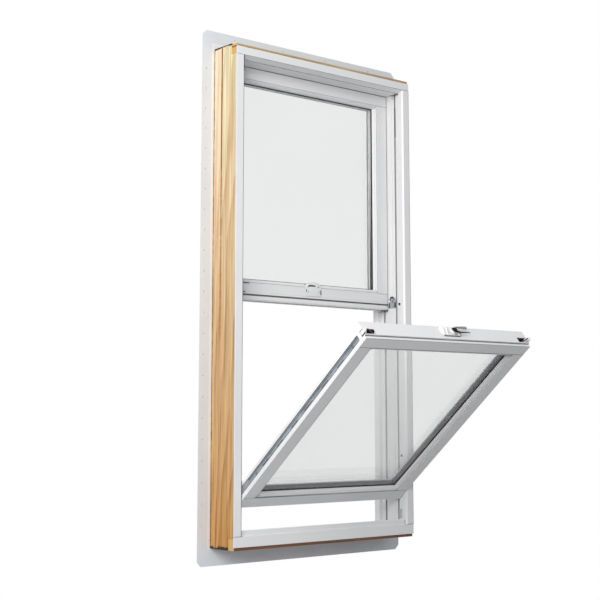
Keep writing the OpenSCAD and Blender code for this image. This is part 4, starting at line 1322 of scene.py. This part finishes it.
@dataclass
class SashLock:
    """The lock on the leaning sash's check rail, and its lever.

    Coordinates are x along the rail, depth from the sash's room face and height above
    the check rail.
    """

    shop: Workshop
    place: Place
    span: tuple[float, float] = (-0.028, 0.040)
    spindle: tuple[float, float] = (0.020, 0.033)
    plate: float = 0.0025
    reach: float = 0.0495
    ridge_at: tuple[float, float] = (-0.0215, -0.0095)
    ridge_wide: float = 0.0030
    screws: tuple[float, float] = (-0.021, 0.033)

    def build(self) -> None:
        """Builds the base with its ridges and boss, the screws, the lever, and painted shade round them.
        """
        body = joined(self.base(), self.ridges(), self.ring(), self.front_oval())
        # The dark pieces are painted shade: the recess and the lines round the base, the lever's dark
        # arm, and its hub, black as the cavity round the spindle.
        dark, arm_shade = joined(self.recess(), self.under_line()), joined(self.hub(), self.arm_shade())
        for name, solid, finish, rider, like, stands_for in (
                ("lock_body", body, Finish.LOCK_WHITE, "lower_sash", "lock_base", True),
                ("lock_recess_shade", dark, Finish.SEAL_AND_SHADE_BLACK, "lower_sash", "lower_gasket", False),
                ("lock_screw_heads", self.heads(), Finish.STEEL, "lower_sash", "lock_screws", True),
                ("lock_lever_arm", self.arm(), Finish.LEVER_GREY, "lock", "lock_lever", True),
                ("lock_lever_shade", arm_shade, Finish.PITCH, "lock", "lower_gasket", False)):
            self.shop.piece(name, solid, self.place, finish, rider, like, stands_for)

    def on_spindle(self, profile: Sequence[tuple[float, float]], around: int = 48) -> Solid:
        """Turns a profile about the spindle."""
        return moved(turned(profile, around), (*self.spindle, 0.0))

    def base(self) -> Solid:
        """Shapes the base plate with its cut corners.

        Returns:
            The plate's points and faces.
        """
        x0, x1 = self.span
        corners = [(x0, 0.024), (x0 + 0.006, 0.018), (x1 - 0.006, 0.018), (x1, 0.024), (x1, 0.042),
                   (x1 - 0.005, 0.047), (x0 + 0.005, 0.047), (x0, 0.042)]
        return slab(fillet(corners, 0.002, 4), 0.00003, self.plate, 0.0008)

    def ridges(self) -> Solid:
        """Shapes the two sloping ridges beside the cam.

        Returns:
            The ridges' points and faces.
        """
        front, slope, crown = 0.0185, 0.016, 0.0062

        def crest(x: Array, depth: Array) -> Array:
            """Height is a pair of bells across x, rising smoothly from the front edge.

            Args:
                x: points along the rail.
                depth: the points' depths.

            Returns:
                The height at each point.
            """
            bells = sum(np.exp(-(((x - at) / self.ridge_wide) ** 4)) for at in self.ridge_at)
            rise = 0.25 + 0.75 * np.clip((depth - front) / slope, 0, 1) ** 1.5
            return self.plate + 0.0008 + crown * bells * rise

        start = self.span[0]
        return swell((start + 0.001, front), (start + 0.026, 0.0455), 0.002, crest, (60, 24))

    def ring(self) -> Solid:
        """Turns the low boss with a recess round the spindle.

        Returns:
            The boss's points and faces.
        """
        profile = [(0.0130, 0.0020), (0.0128, 0.0040), (0.0120, 0.0056), (0.0108, 0.0066),
                   (0.0098, 0.0068), (0.0092, 0.0064), (0.0090, 0.0040), (0.0002, 0.0040)]
        return self.on_spindle(profile)

    def front_oval(self) -> Solid:
        """Shapes the oval rest at the front with its raised bar.

        Returns:
            The rest's points and faces.
        """
        outline = fillet([(-0.006, 0.0178), (0.034, 0.0178), (0.037, 0.0215), (0.034, 0.0255),
                          (-0.006, 0.0255), (-0.009, 0.0215)], 0.005, 6)
        bar = strand(between((-0.002, 0.0216, 0.0050), (0.030, 0.0216, 0.0050), 9), 0.0013, 0.0011)
        return joined(slab(outline, 0.0020, 0.0046, 0.0010), bar)

    def recess(self) -> Solid:
        """Turns a dark disc in the boss's recess, as painted shade of the recess.

        Returns:
            The disc's points and faces.
        """
        profile = [(0.0089, 0.0041), (0.0089, 0.0046), (0.0086, 0.0049), (0.0002, 0.0049)]
        return self.on_spindle(profile, 32)

    def under_line(self) -> Solid:
        """Shapes painted shade as dark lines along the base's front, round its end and by the oval rest.

        Returns:
            The lines' points and faces.
        """
        start, stop = (self.span[0] + 0.006, 0.0176, 0.0012), (self.span[1] - 0.006, 0.0176, 0.0012)
        front = strand(between(start, stop, 12), 0.0006, 0.0011)
        end = strand([(0.036, 0.0190, 0.0030), (0.0395, 0.0245, 0.0030), (0.0398, 0.0310, 0.0030)],
                     0.0008, 0.0010)
        groove = strand(between((-0.006, 0.0262, 0.0030), (0.012, 0.0262, 0.0030)), 0.0006, 0.0009)
        return joined(front, end, groove)

    def heads(self) -> Solid:
        """Turns the two screw heads, each with a cross.

        Returns:
            The heads' points and faces.
        """
        profile = [(0.0029, 0.0), (0.0030, 0.0004), (0.0026, 0.0009), (0.0017, 0.0013), (0.0009, 0.0014),
                   (0.0001, 0.0014)]
        tops = (0.0068, self.plate)
        return joined(*(moved(turned(profile, 40, 0.0007, 0.0004), (x, self.spindle[1], top))
                        for x, top in zip(self.screws, tops)))

    def hub(self) -> Solid:
        """Turns the lever's hub and its spindle.

        Returns:
            The hub's points and faces.
        """
        profile = [(0.0040, 0.0003), (0.0040, 0.0064), (0.0066, 0.0066), (0.0070, 0.0072),
                   (0.0070, 0.0098), (0.0062, 0.0106), (0.0040, 0.0108), (0.0002, 0.0108)]
        return self.on_spindle(profile)

    def arm(self) -> Solid:
        """Shapes the thick arm with its block end, and the cam under it.

        Returns:
            The arm's points and faces.
        """
        x, d = self.spindle
        corners = [(x - 0.002, d + 0.0030), (x + 0.010, d + 0.0045), (x + 0.030, d + 0.0050),
                   (x + 0.031, d + 0.0030), (x + self.reach - 0.006, d + 0.0030),
                   (x + self.reach - 0.005, d + 0.0105),
                   (x + 0.030, d + 0.0100), (x + 0.010, d + 0.0085), (x - 0.001, d + 0.0078)]
        cam = [(x - 0.0070, d - 0.0040), (x - 0.0090, d - 0.0120), (x - 0.0060, d - 0.0145),
               (x, d - 0.0150), (x + 0.0075, d - 0.0030), (x + 0.0070, d + 0.0040), (x, d + 0.0080),
               (x - 0.0070, d + 0.0040)]
        return joined(slab(fillet(corners, 0.0015, 4), 0.0082, 0.0130, 0.0012),
                      slab(fillet(cam, 0.0020, 4), 0.0052, 0.0076, 0.0006))

    def arm_shade(self) -> Solid:
        """Shapes a thin dark arm beside the thick one, from the hub: painted shade of that arm's
        underside.

        Returns:
            The dark arm's points and faces.
        """
        x, d = self.spindle
        path = [(x + 0.002, d - 0.005, 0.0092), (x + 0.012, d - 0.0085, 0.0094),
                (x + 0.022, d - 0.0090, 0.0096), (x + 0.034, d - 0.0088, 0.0098),
                (x + self.reach - 0.001, d - 0.0084, 0.0098)]
        return strand(path, np.array([0.0030, 0.0024, 0.0019, 0.0016, 0.0010]),
                      np.array([0.0016, 0.0014, 0.0013, 0.0012, 0.0008]))


@dataclass
class Keeper:
    """The keeper let into the upper check rail, with an arched mouth for the cam.

    Coordinates are x along the rail, depth from the sash's room face and height from
    the sash's bottom edge.
    """

    shop: Workshop
    place: Place
    span: tuple[float, float] = (-0.0225, 0.0345)
    foot: float = 0.0245
    rail_top: float = 0.048
    crown: float = 0.0645

    def build(self) -> None:
        """Builds the plate, its screws, and painted shade in its mouth and under its hood."""
        (x0, x1), top = self.span, self.rail_top
        middle, turn = (x0 + x1) / 2, np.linspace(0.0, np.pi, 25)
        arch = np.column_stack([middle + (x1 - middle) * np.cos(turn),
                                top + (self.crown - top) * np.sin(turn) ** 0.8])
        plate = slab(np.array([(x0, self.foot), (x1, self.foot), *arch]), -0.0006, 0.0027, 0.0006,
                     (0, 2, 1))
        hood = slab(np.array([(x1, top + 0.0003), *arch]), 0.0020, 0.0100, 0.0010, (0, 2, 1))
        # Painted shade: dark lines in the arched mouth and down its sides.
        mouth = joined(
            strand([(-0.0170, -0.0004, 0.0470), (-0.0155, -0.0005, 0.0510), (-0.0120, -0.0005, 0.0540),
                    (0.0000, -0.0005, 0.0545), (0.0120, -0.0005, 0.0540)], HAIRLINE,
                   np.array([0.0014, 0.0020, 0.0025, 0.0024, 0.0019])),
            strand(between((0.0215, -0.0004, 0.0510), (0.0250, -0.0004, 0.0530), 3), HAIRLINE,
                   np.array([0.0016, 0.0023, 0.0017])),
            strand(between((0.0322, -0.0005, 0.0300), (0.0326, -0.0005, 0.0430), 4),
                   0.0019, HAIRLINE, ALONG_Y),
            strand(between((-0.0210, -0.0005, 0.0350), (-0.0212, -0.0005, 0.0440), 4),
                   0.0012, HAIRLINE, ALONG_Y))
        # A painted shadow line just under the hood's arched edge.
        line = arch[4:-4]
        rim = strand(np.column_stack([line[:, 0], np.full(len(line), -0.0004), line[:, 1] - 0.0008]),
                     0.0003, HAIRLINE, ALONG_Y)
        profile = [(0.0024, 0.0), (0.0024, 0.0003), (0.0017, 0.0006), (0.0008, 0.0007), (0.0001, 0.0007)]
        heads = joined(*(moved(turned(profile, 32, 0.0003, HAIRLINE), (x, 0.0375, 0.0003))
                         for x in (-0.0140, 0.0260)))
        face = Place(self.place.origin, (0.0, 0.0, 1.0), (0.0, -1.0, 0.0))
        for name, solid, place, finish, like, stands_for in (
                ("keeper_plate", joined(plate, hood), self.place, Finish.LOCK_WHITE, "keeper", True),
                ("keeper_mouth_shade", mouth, self.place, Finish.PITCH, "upper_gasket", False),
                ("keeper_hood_shadow", rim, self.place, Finish.SHADOW, "upper_gasket", False),
                ("keeper_screw_heads", heads, face, Finish.STEEL, "keeper_screws", True)):
            self.shop.piece(name, solid, place, finish, "upper_sash", like, stands_for)


@dataclass
class TiltLatch:
    """One sliding latch in its tray at an end of the leaning check rail."""

    shop: Workshop
    name: str
    body: str
    node: str
    place: Place
    outer: float = 0.2970

    def build(self) -> None:
        """Builds the white sliding bolt and the rust-brown finger lever on it."""
        outer = self.outer
        foot, climbs, middle, half = -0.0085, 0.0185, 0.0190, 0.0050

        def crown(x: Array, depth: Array) -> Array:
            """Height climbs outwards along the bolt and rounds off across it."""
            climb = np.clip((x - (outer - 0.014)) / 0.015, 0, 1)
            return foot + climbs * climb**0.9 - 0.0012 * ((depth - middle) / half) ** 2

        bolt = swell((outer - 0.0155, 0.0140), (outer + 0.0024, 0.0240), -0.0105, crown, (30, 12))
        self.shop.piece(f"{self.name}_bolt", bolt, self.place, Finish.LOCK_WHITE, self.body, self.node,
                        True)
        path = [(outer - 0.0280, 0.0120, -0.0070), (outer - 0.0250, 0.0125, -0.0010),
                (outer - 0.0190, 0.0140, 0.0025), (outer - 0.0120, 0.0165, 0.0062),
                (outer - 0.0060, 0.0190, 0.0084)]
        lever = strand(path, np.array([0.0014, 0.0018, 0.0020, 0.0018, 0.0012]), 0.0014)
        self.shop.piece(f"{self.name}_lever", lever, self.place, Finish.RUST_BROWN, self.body, self.node)


@dataclass
class Hardware:
    """Latch trays, liner screws, guides, seals and balances."""

    shop: Workshop
    upper: Place
    proud: float = 0.0017

    def build(self) -> None:
        """Dresses the plain hardware, latch trays in black as painted shade, and builds the guides,
        screw heads and piles.
        """
        # The latch trays wear pitch black as painted shade of the pockets that the latches sit in.
        for finish, names in ((Finish.STEEL, ["balance_cases"]), (Finish.PITCH, ["latch_housings"]),
                              (Finish.SEAL_AND_SHADE_BLACK, ["head_seal", "sill_seal", "upper_end_pads"]),
                              (Finish.PILE_GREY, ["upper_pile", "check_seal"])):
            self.shop.paint.dress(finish, *names)
        self.build_guides()
        self.build_liner_screws()
        self.build_piles()

    def build_guides(self) -> None:
        """Builds the grey guide blocks beside the check rails, with painted shade along their edges."""
        (_, y0, z0), (_, y1, z1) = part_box("meeting_guides")
        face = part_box("liner_right")[0][0] + self.proud
        corners = [(y0, z0 + 0.004), (y0 + 0.004, z0), (y1, z0), (y1, z0 + 0.012),
                   (y1 - 0.003, z0 + 0.014), (y1 - 0.003, z1 - 0.010), (y1 - 0.008, z1),
                   (y0 + 0.006, z1), (y0, z1 - 0.006)]
        block = slab(fillet(corners, 0.002, 4), 0.0004, 0.0034, 0.0008)
        # Paths of the painted shade along the blocks' edges.
        rims = ([(y0 + 0.001, z0 + 0.002), (y0 + 0.0005, z0 + 0.017)],
                [(y1 - 0.002, z0 + 0.001), (y1 - 0.002, z0 + 0.016)],
                [(y0 + 0.004, z1 - 0.007), (y0 + 0.010, z1 - 0.0015), (y1 - 0.009, z1 - 0.0015),
                 (y1 - 0.004, z1 - 0.009)],
                [(y0 + 0.008, z0 + 0.018), (y0 + 0.012, z0 + 0.021)])
        blocks, edges = [], []
        for side in (-1, 1):
            blocks.append(on_liner(block, side, face))
            edges += [strand([(side * (face - 0.0029), y, z) for y, z in rim], 0.0036, 0.0006, ALONG_X)
                      for rim in rims]
        self.shop.piece("guide_blocks", joined(*blocks), Place(), Finish.NYLON_GREY, "frame",
                        "meeting_guides", True)
        self.shop.piece("guide_edge_shade", joined(*edges), Place(), Finish.PITCH, "frame", "head_seal")

    def build_liner_screws(self) -> None:
        """Turns the dark pan heads of the liner screws, each with a cross."""
        (_, y0, z0), (_, y1, z1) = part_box("liner_screws")
        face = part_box("liner_right")[0][0] + self.proud
        profile = [(0.0040, 0.0), (0.0041, 0.0004), (0.0034, 0.0010), (0.0022, 0.0014), (0.0010, 0.0016),
                   (0.0001, 0.0016)]
        head = turned(profile, 32, 0.0007, 0.0005)
        heads = [on_liner(head, side, face, (y0 + y1) / 2, level)
                 for side in (-1, 1) for level in (z0 + 0.003, z1 - 0.003)]
        self.shop.piece("liner_screw_heads", joined(*heads), Place(), Finish.PITCH, "frame",
                        "liner_screws", True)

    def build_piles(self) -> None:
        """Lays painted shade by the upper stiles and at the check rail's left end, and the ragged pile
        under it.
        """
        z = np.linspace(0.003, 0.6465, 160)
        wander = 0.0012 + 0.0002 * np.sin(z * 420.0) * np.sin(z * 91.0)
        # Painted shade in the gap between each upper stile and its liner.
        stiles = [strand(column_at(side * (SASH_HALF + 0.0010), 0.0016, z), wander, 0.0009, ALONG_Y)
                  for side in (-1, 1)]
        # Painted shade at the check rail's left end, along its top and lower down.
        corner = [(-0.262, -0.0004, 0.0478), (-0.248, -0.0004, 0.0478), (-0.236, -0.0003, 0.0478),
                  (-0.226, -0.0001, 0.0478)]
        low = [(-0.262, -0.0004, 0.0232), (-0.250, -0.0004, 0.0232), (-0.240, -0.0002, 0.0232)]
        end_shade = joined(strand(corner, np.array([0.0016, 0.0016, 0.0011, 0.0004]), 0.0010),
                       strand(low, np.array([0.0014, 0.0013, 0.0004]), 0.0010))
        x = np.linspace(-SASH_HALF + 0.006, SASH_HALF - 0.006, 320)
        ragged = 0.0007 + 0.0006 * np.abs(np.sin(x * 260.0) * np.sin(x * 97.0 + 1.0))
        under = strand(np.column_stack([x, np.full(320, 0.0042), np.full(320, -0.0003)]), 0.0012, ragged)
        for name, solid, finish in (("upper_stile_gap_shade", joined(*stiles), Finish.PITCH),
                                    ("upper_rail_end_shade", end_shade, Finish.PITCH),
                                    ("upper_under_pile", under, Finish.PILE_GREY)):
            self.shop.piece(name, solid, self.upper, finish, "upper_sash", "upper_pile")


# ---------------------------------------------------------------------------
# Studio
# ---------------------------------------------------------------------------


@dataclass
class Studio:
    """A pale floor, soft light all round, a soft key light and the camera."""

    floor_drop: float = 0.16
    floor_size: float = 60.0
    floor_tone: Rgb = (0.20, 0.20, 0.21)
    lens: float = 77.59
    shift_y: float = -0.1167
    eye: Point = (-2.3891, -2.8046, -0.3291)
    yaw: float = 40.24
    pitch: float = 8.16
    fill: float = 0.55
    fill_tone: Rgb = (0.97, 0.985, 1.0)
    key_power: float = 66.0
    key_tone: Rgb = (1.0, 0.985, 0.96)
    key_at: Point = (-2.3, -1.55, 0.70)
    key_size: float = 1.6
    floor_roughness: float = 0.9
    mirror_dimming: float = 0.6
    sensor: float = 36.0
    far_clip: float = 200.0

    def build(self) -> None:
        """Builds the floor, the lights and the camera."""
        self.lay_floor()
        self.light_sky()
        self.hang_key()
        self.set_camera()
        bpy.context.scene.view_settings.view_transform = "Standard"

    def lay_floor(self) -> None:
        """Lays a large pale floor under the window."""
        half = self.floor_size / 2
        z = cad_low[2] - self.floor_drop
        mesh = bpy.data.meshes.new("floor")
        mesh.from_pydata([(-half, -half, z), (half, -half, z), (half, half, z), (-half, half, z)], [],
                         [(0, 1, 2, 3)])
        material, graph, shader = blank_material("pale_floor")
        graph.fill(shader, {"Base Color": rgba(self.floor_tone), "Roughness": self.floor_roughness})
        path = graph.add("LightPath")
        dimming = graph.math("MULTIPLY", path.outputs["Is Reflection Ray"], self.mirror_dimming)
        strength = graph.math("SUBTRACT", 1.0, dimming)
        bright = graph.add("Emission", {"Color": WHITE, "Strength": strength})
        blend = graph.add("MixShader", {
            0: path.outputs["Is Diffuse Ray"], 1: bright.outputs[0], 2: shader.outputs[0]})
        output = next(node for node in material.node_tree.nodes if node.type == "OUTPUT_MATERIAL")
        graph.fill(output, {"Surface": blend.outputs[0]})
        mesh.materials.append(material)
        floor = bpy.data.objects.new("floor", mesh)
        bpy.context.scene.collection.objects.link(floor)

    def light_sky(self) -> None:
        """Lights the scene softly from all round, in front of a white backdrop."""
        world = bpy.data.worlds.new("soft_room")
        world.use_nodes = True
        world.node_tree.nodes.clear()
        graph = Graph(world.node_tree)
        white = graph.add("Background", {"Color": WHITE, "Strength": 1.0})
        soft = graph.add("Background", {"Color": rgba(self.fill_tone), "Strength": self.fill})
        path = graph.add("LightPath")
        both = graph.add("MixShader", {
            0: path.outputs["Is Diffuse Ray"], 1: white.outputs[0], 2: soft.outputs[0]})
        graph.add("OutputWorld", {"Surface": both.outputs[0]})
        bpy.context.scene.world = world

    def hang_key(self) -> None:
        """Hangs one large soft light up to the left of the camera."""
        light = bpy.data.lights.new("key_light", "AREA")
        light.energy = self.key_power
        light.color = self.key_tone
        light.size = self.key_size
        lamp = bpy.data.objects.new("key_light", light)
        lamp.location = self.key_at
        lamp.rotation_mode = "QUATERNION"
        towards_middle = Vector((0.0, 0.0, 0.0)) - Vector(self.key_at)
        lamp.rotation_quaternion = towards_middle.to_track_quat("-Z", "Y")
        bpy.context.scene.collection.objects.link(lamp)

    def set_camera(self) -> None:
        """Sets the camera at eye level, looking a little up and along the yaw."""
        data = bpy.data.cameras.new("camera")
        data.sensor_width = self.sensor
        data.lens = self.lens
        data.shift_y = self.shift_y
        data.clip_end = self.far_clip
        camera = bpy.data.objects.new("camera", data)
        yaw, pitch = np.radians(self.yaw), np.radians(self.pitch)
        ahead = Vector((np.sin(yaw) * np.cos(pitch), np.cos(yaw) * np.cos(pitch), np.sin(pitch)))
        camera.location = self.eye
        camera.rotation_mode = "QUATERNION"
        camera.rotation_quaternion = ahead.to_track_quat("-Z", "Y")
        bpy.context.scene.collection.objects.link(camera)
        bpy.context.scene.camera = camera


def main() -> None:
    """Builds the studio and every sub-assembly in order."""
    logging.basicConfig(level=logging.INFO, format="%(name)s: %(message)s")
    Studio().build()
    shop = Workshop(Paintbox())
    leaning, upright = leaning_place(), upright_place()
    check_top = raised(leaning, LEAF)
    for assembly in (
            PineFrame(shop), WhiteShell(shop),
            Sash(shop, "upper", "upper_sash", Finish.UPPER_SPACER, upright, 0.048, 0.619),
            Sash(shop, "lower", "lower_sash", Finish.LOWER_SPACER, leaning, 0.040, 0.619),
            SashLock(shop, check_top), Keeper(shop, upright),
            TiltLatch(shop, "right_tilt", "right_latch", "latch_right", check_top),
            TiltLatch(shop, "left_tilt", "left_latch", "latch_left", check_top.mirrored()),
            Hardware(shop, upright)):
        assembly.build()


if __name__ == "__main__":
    main()
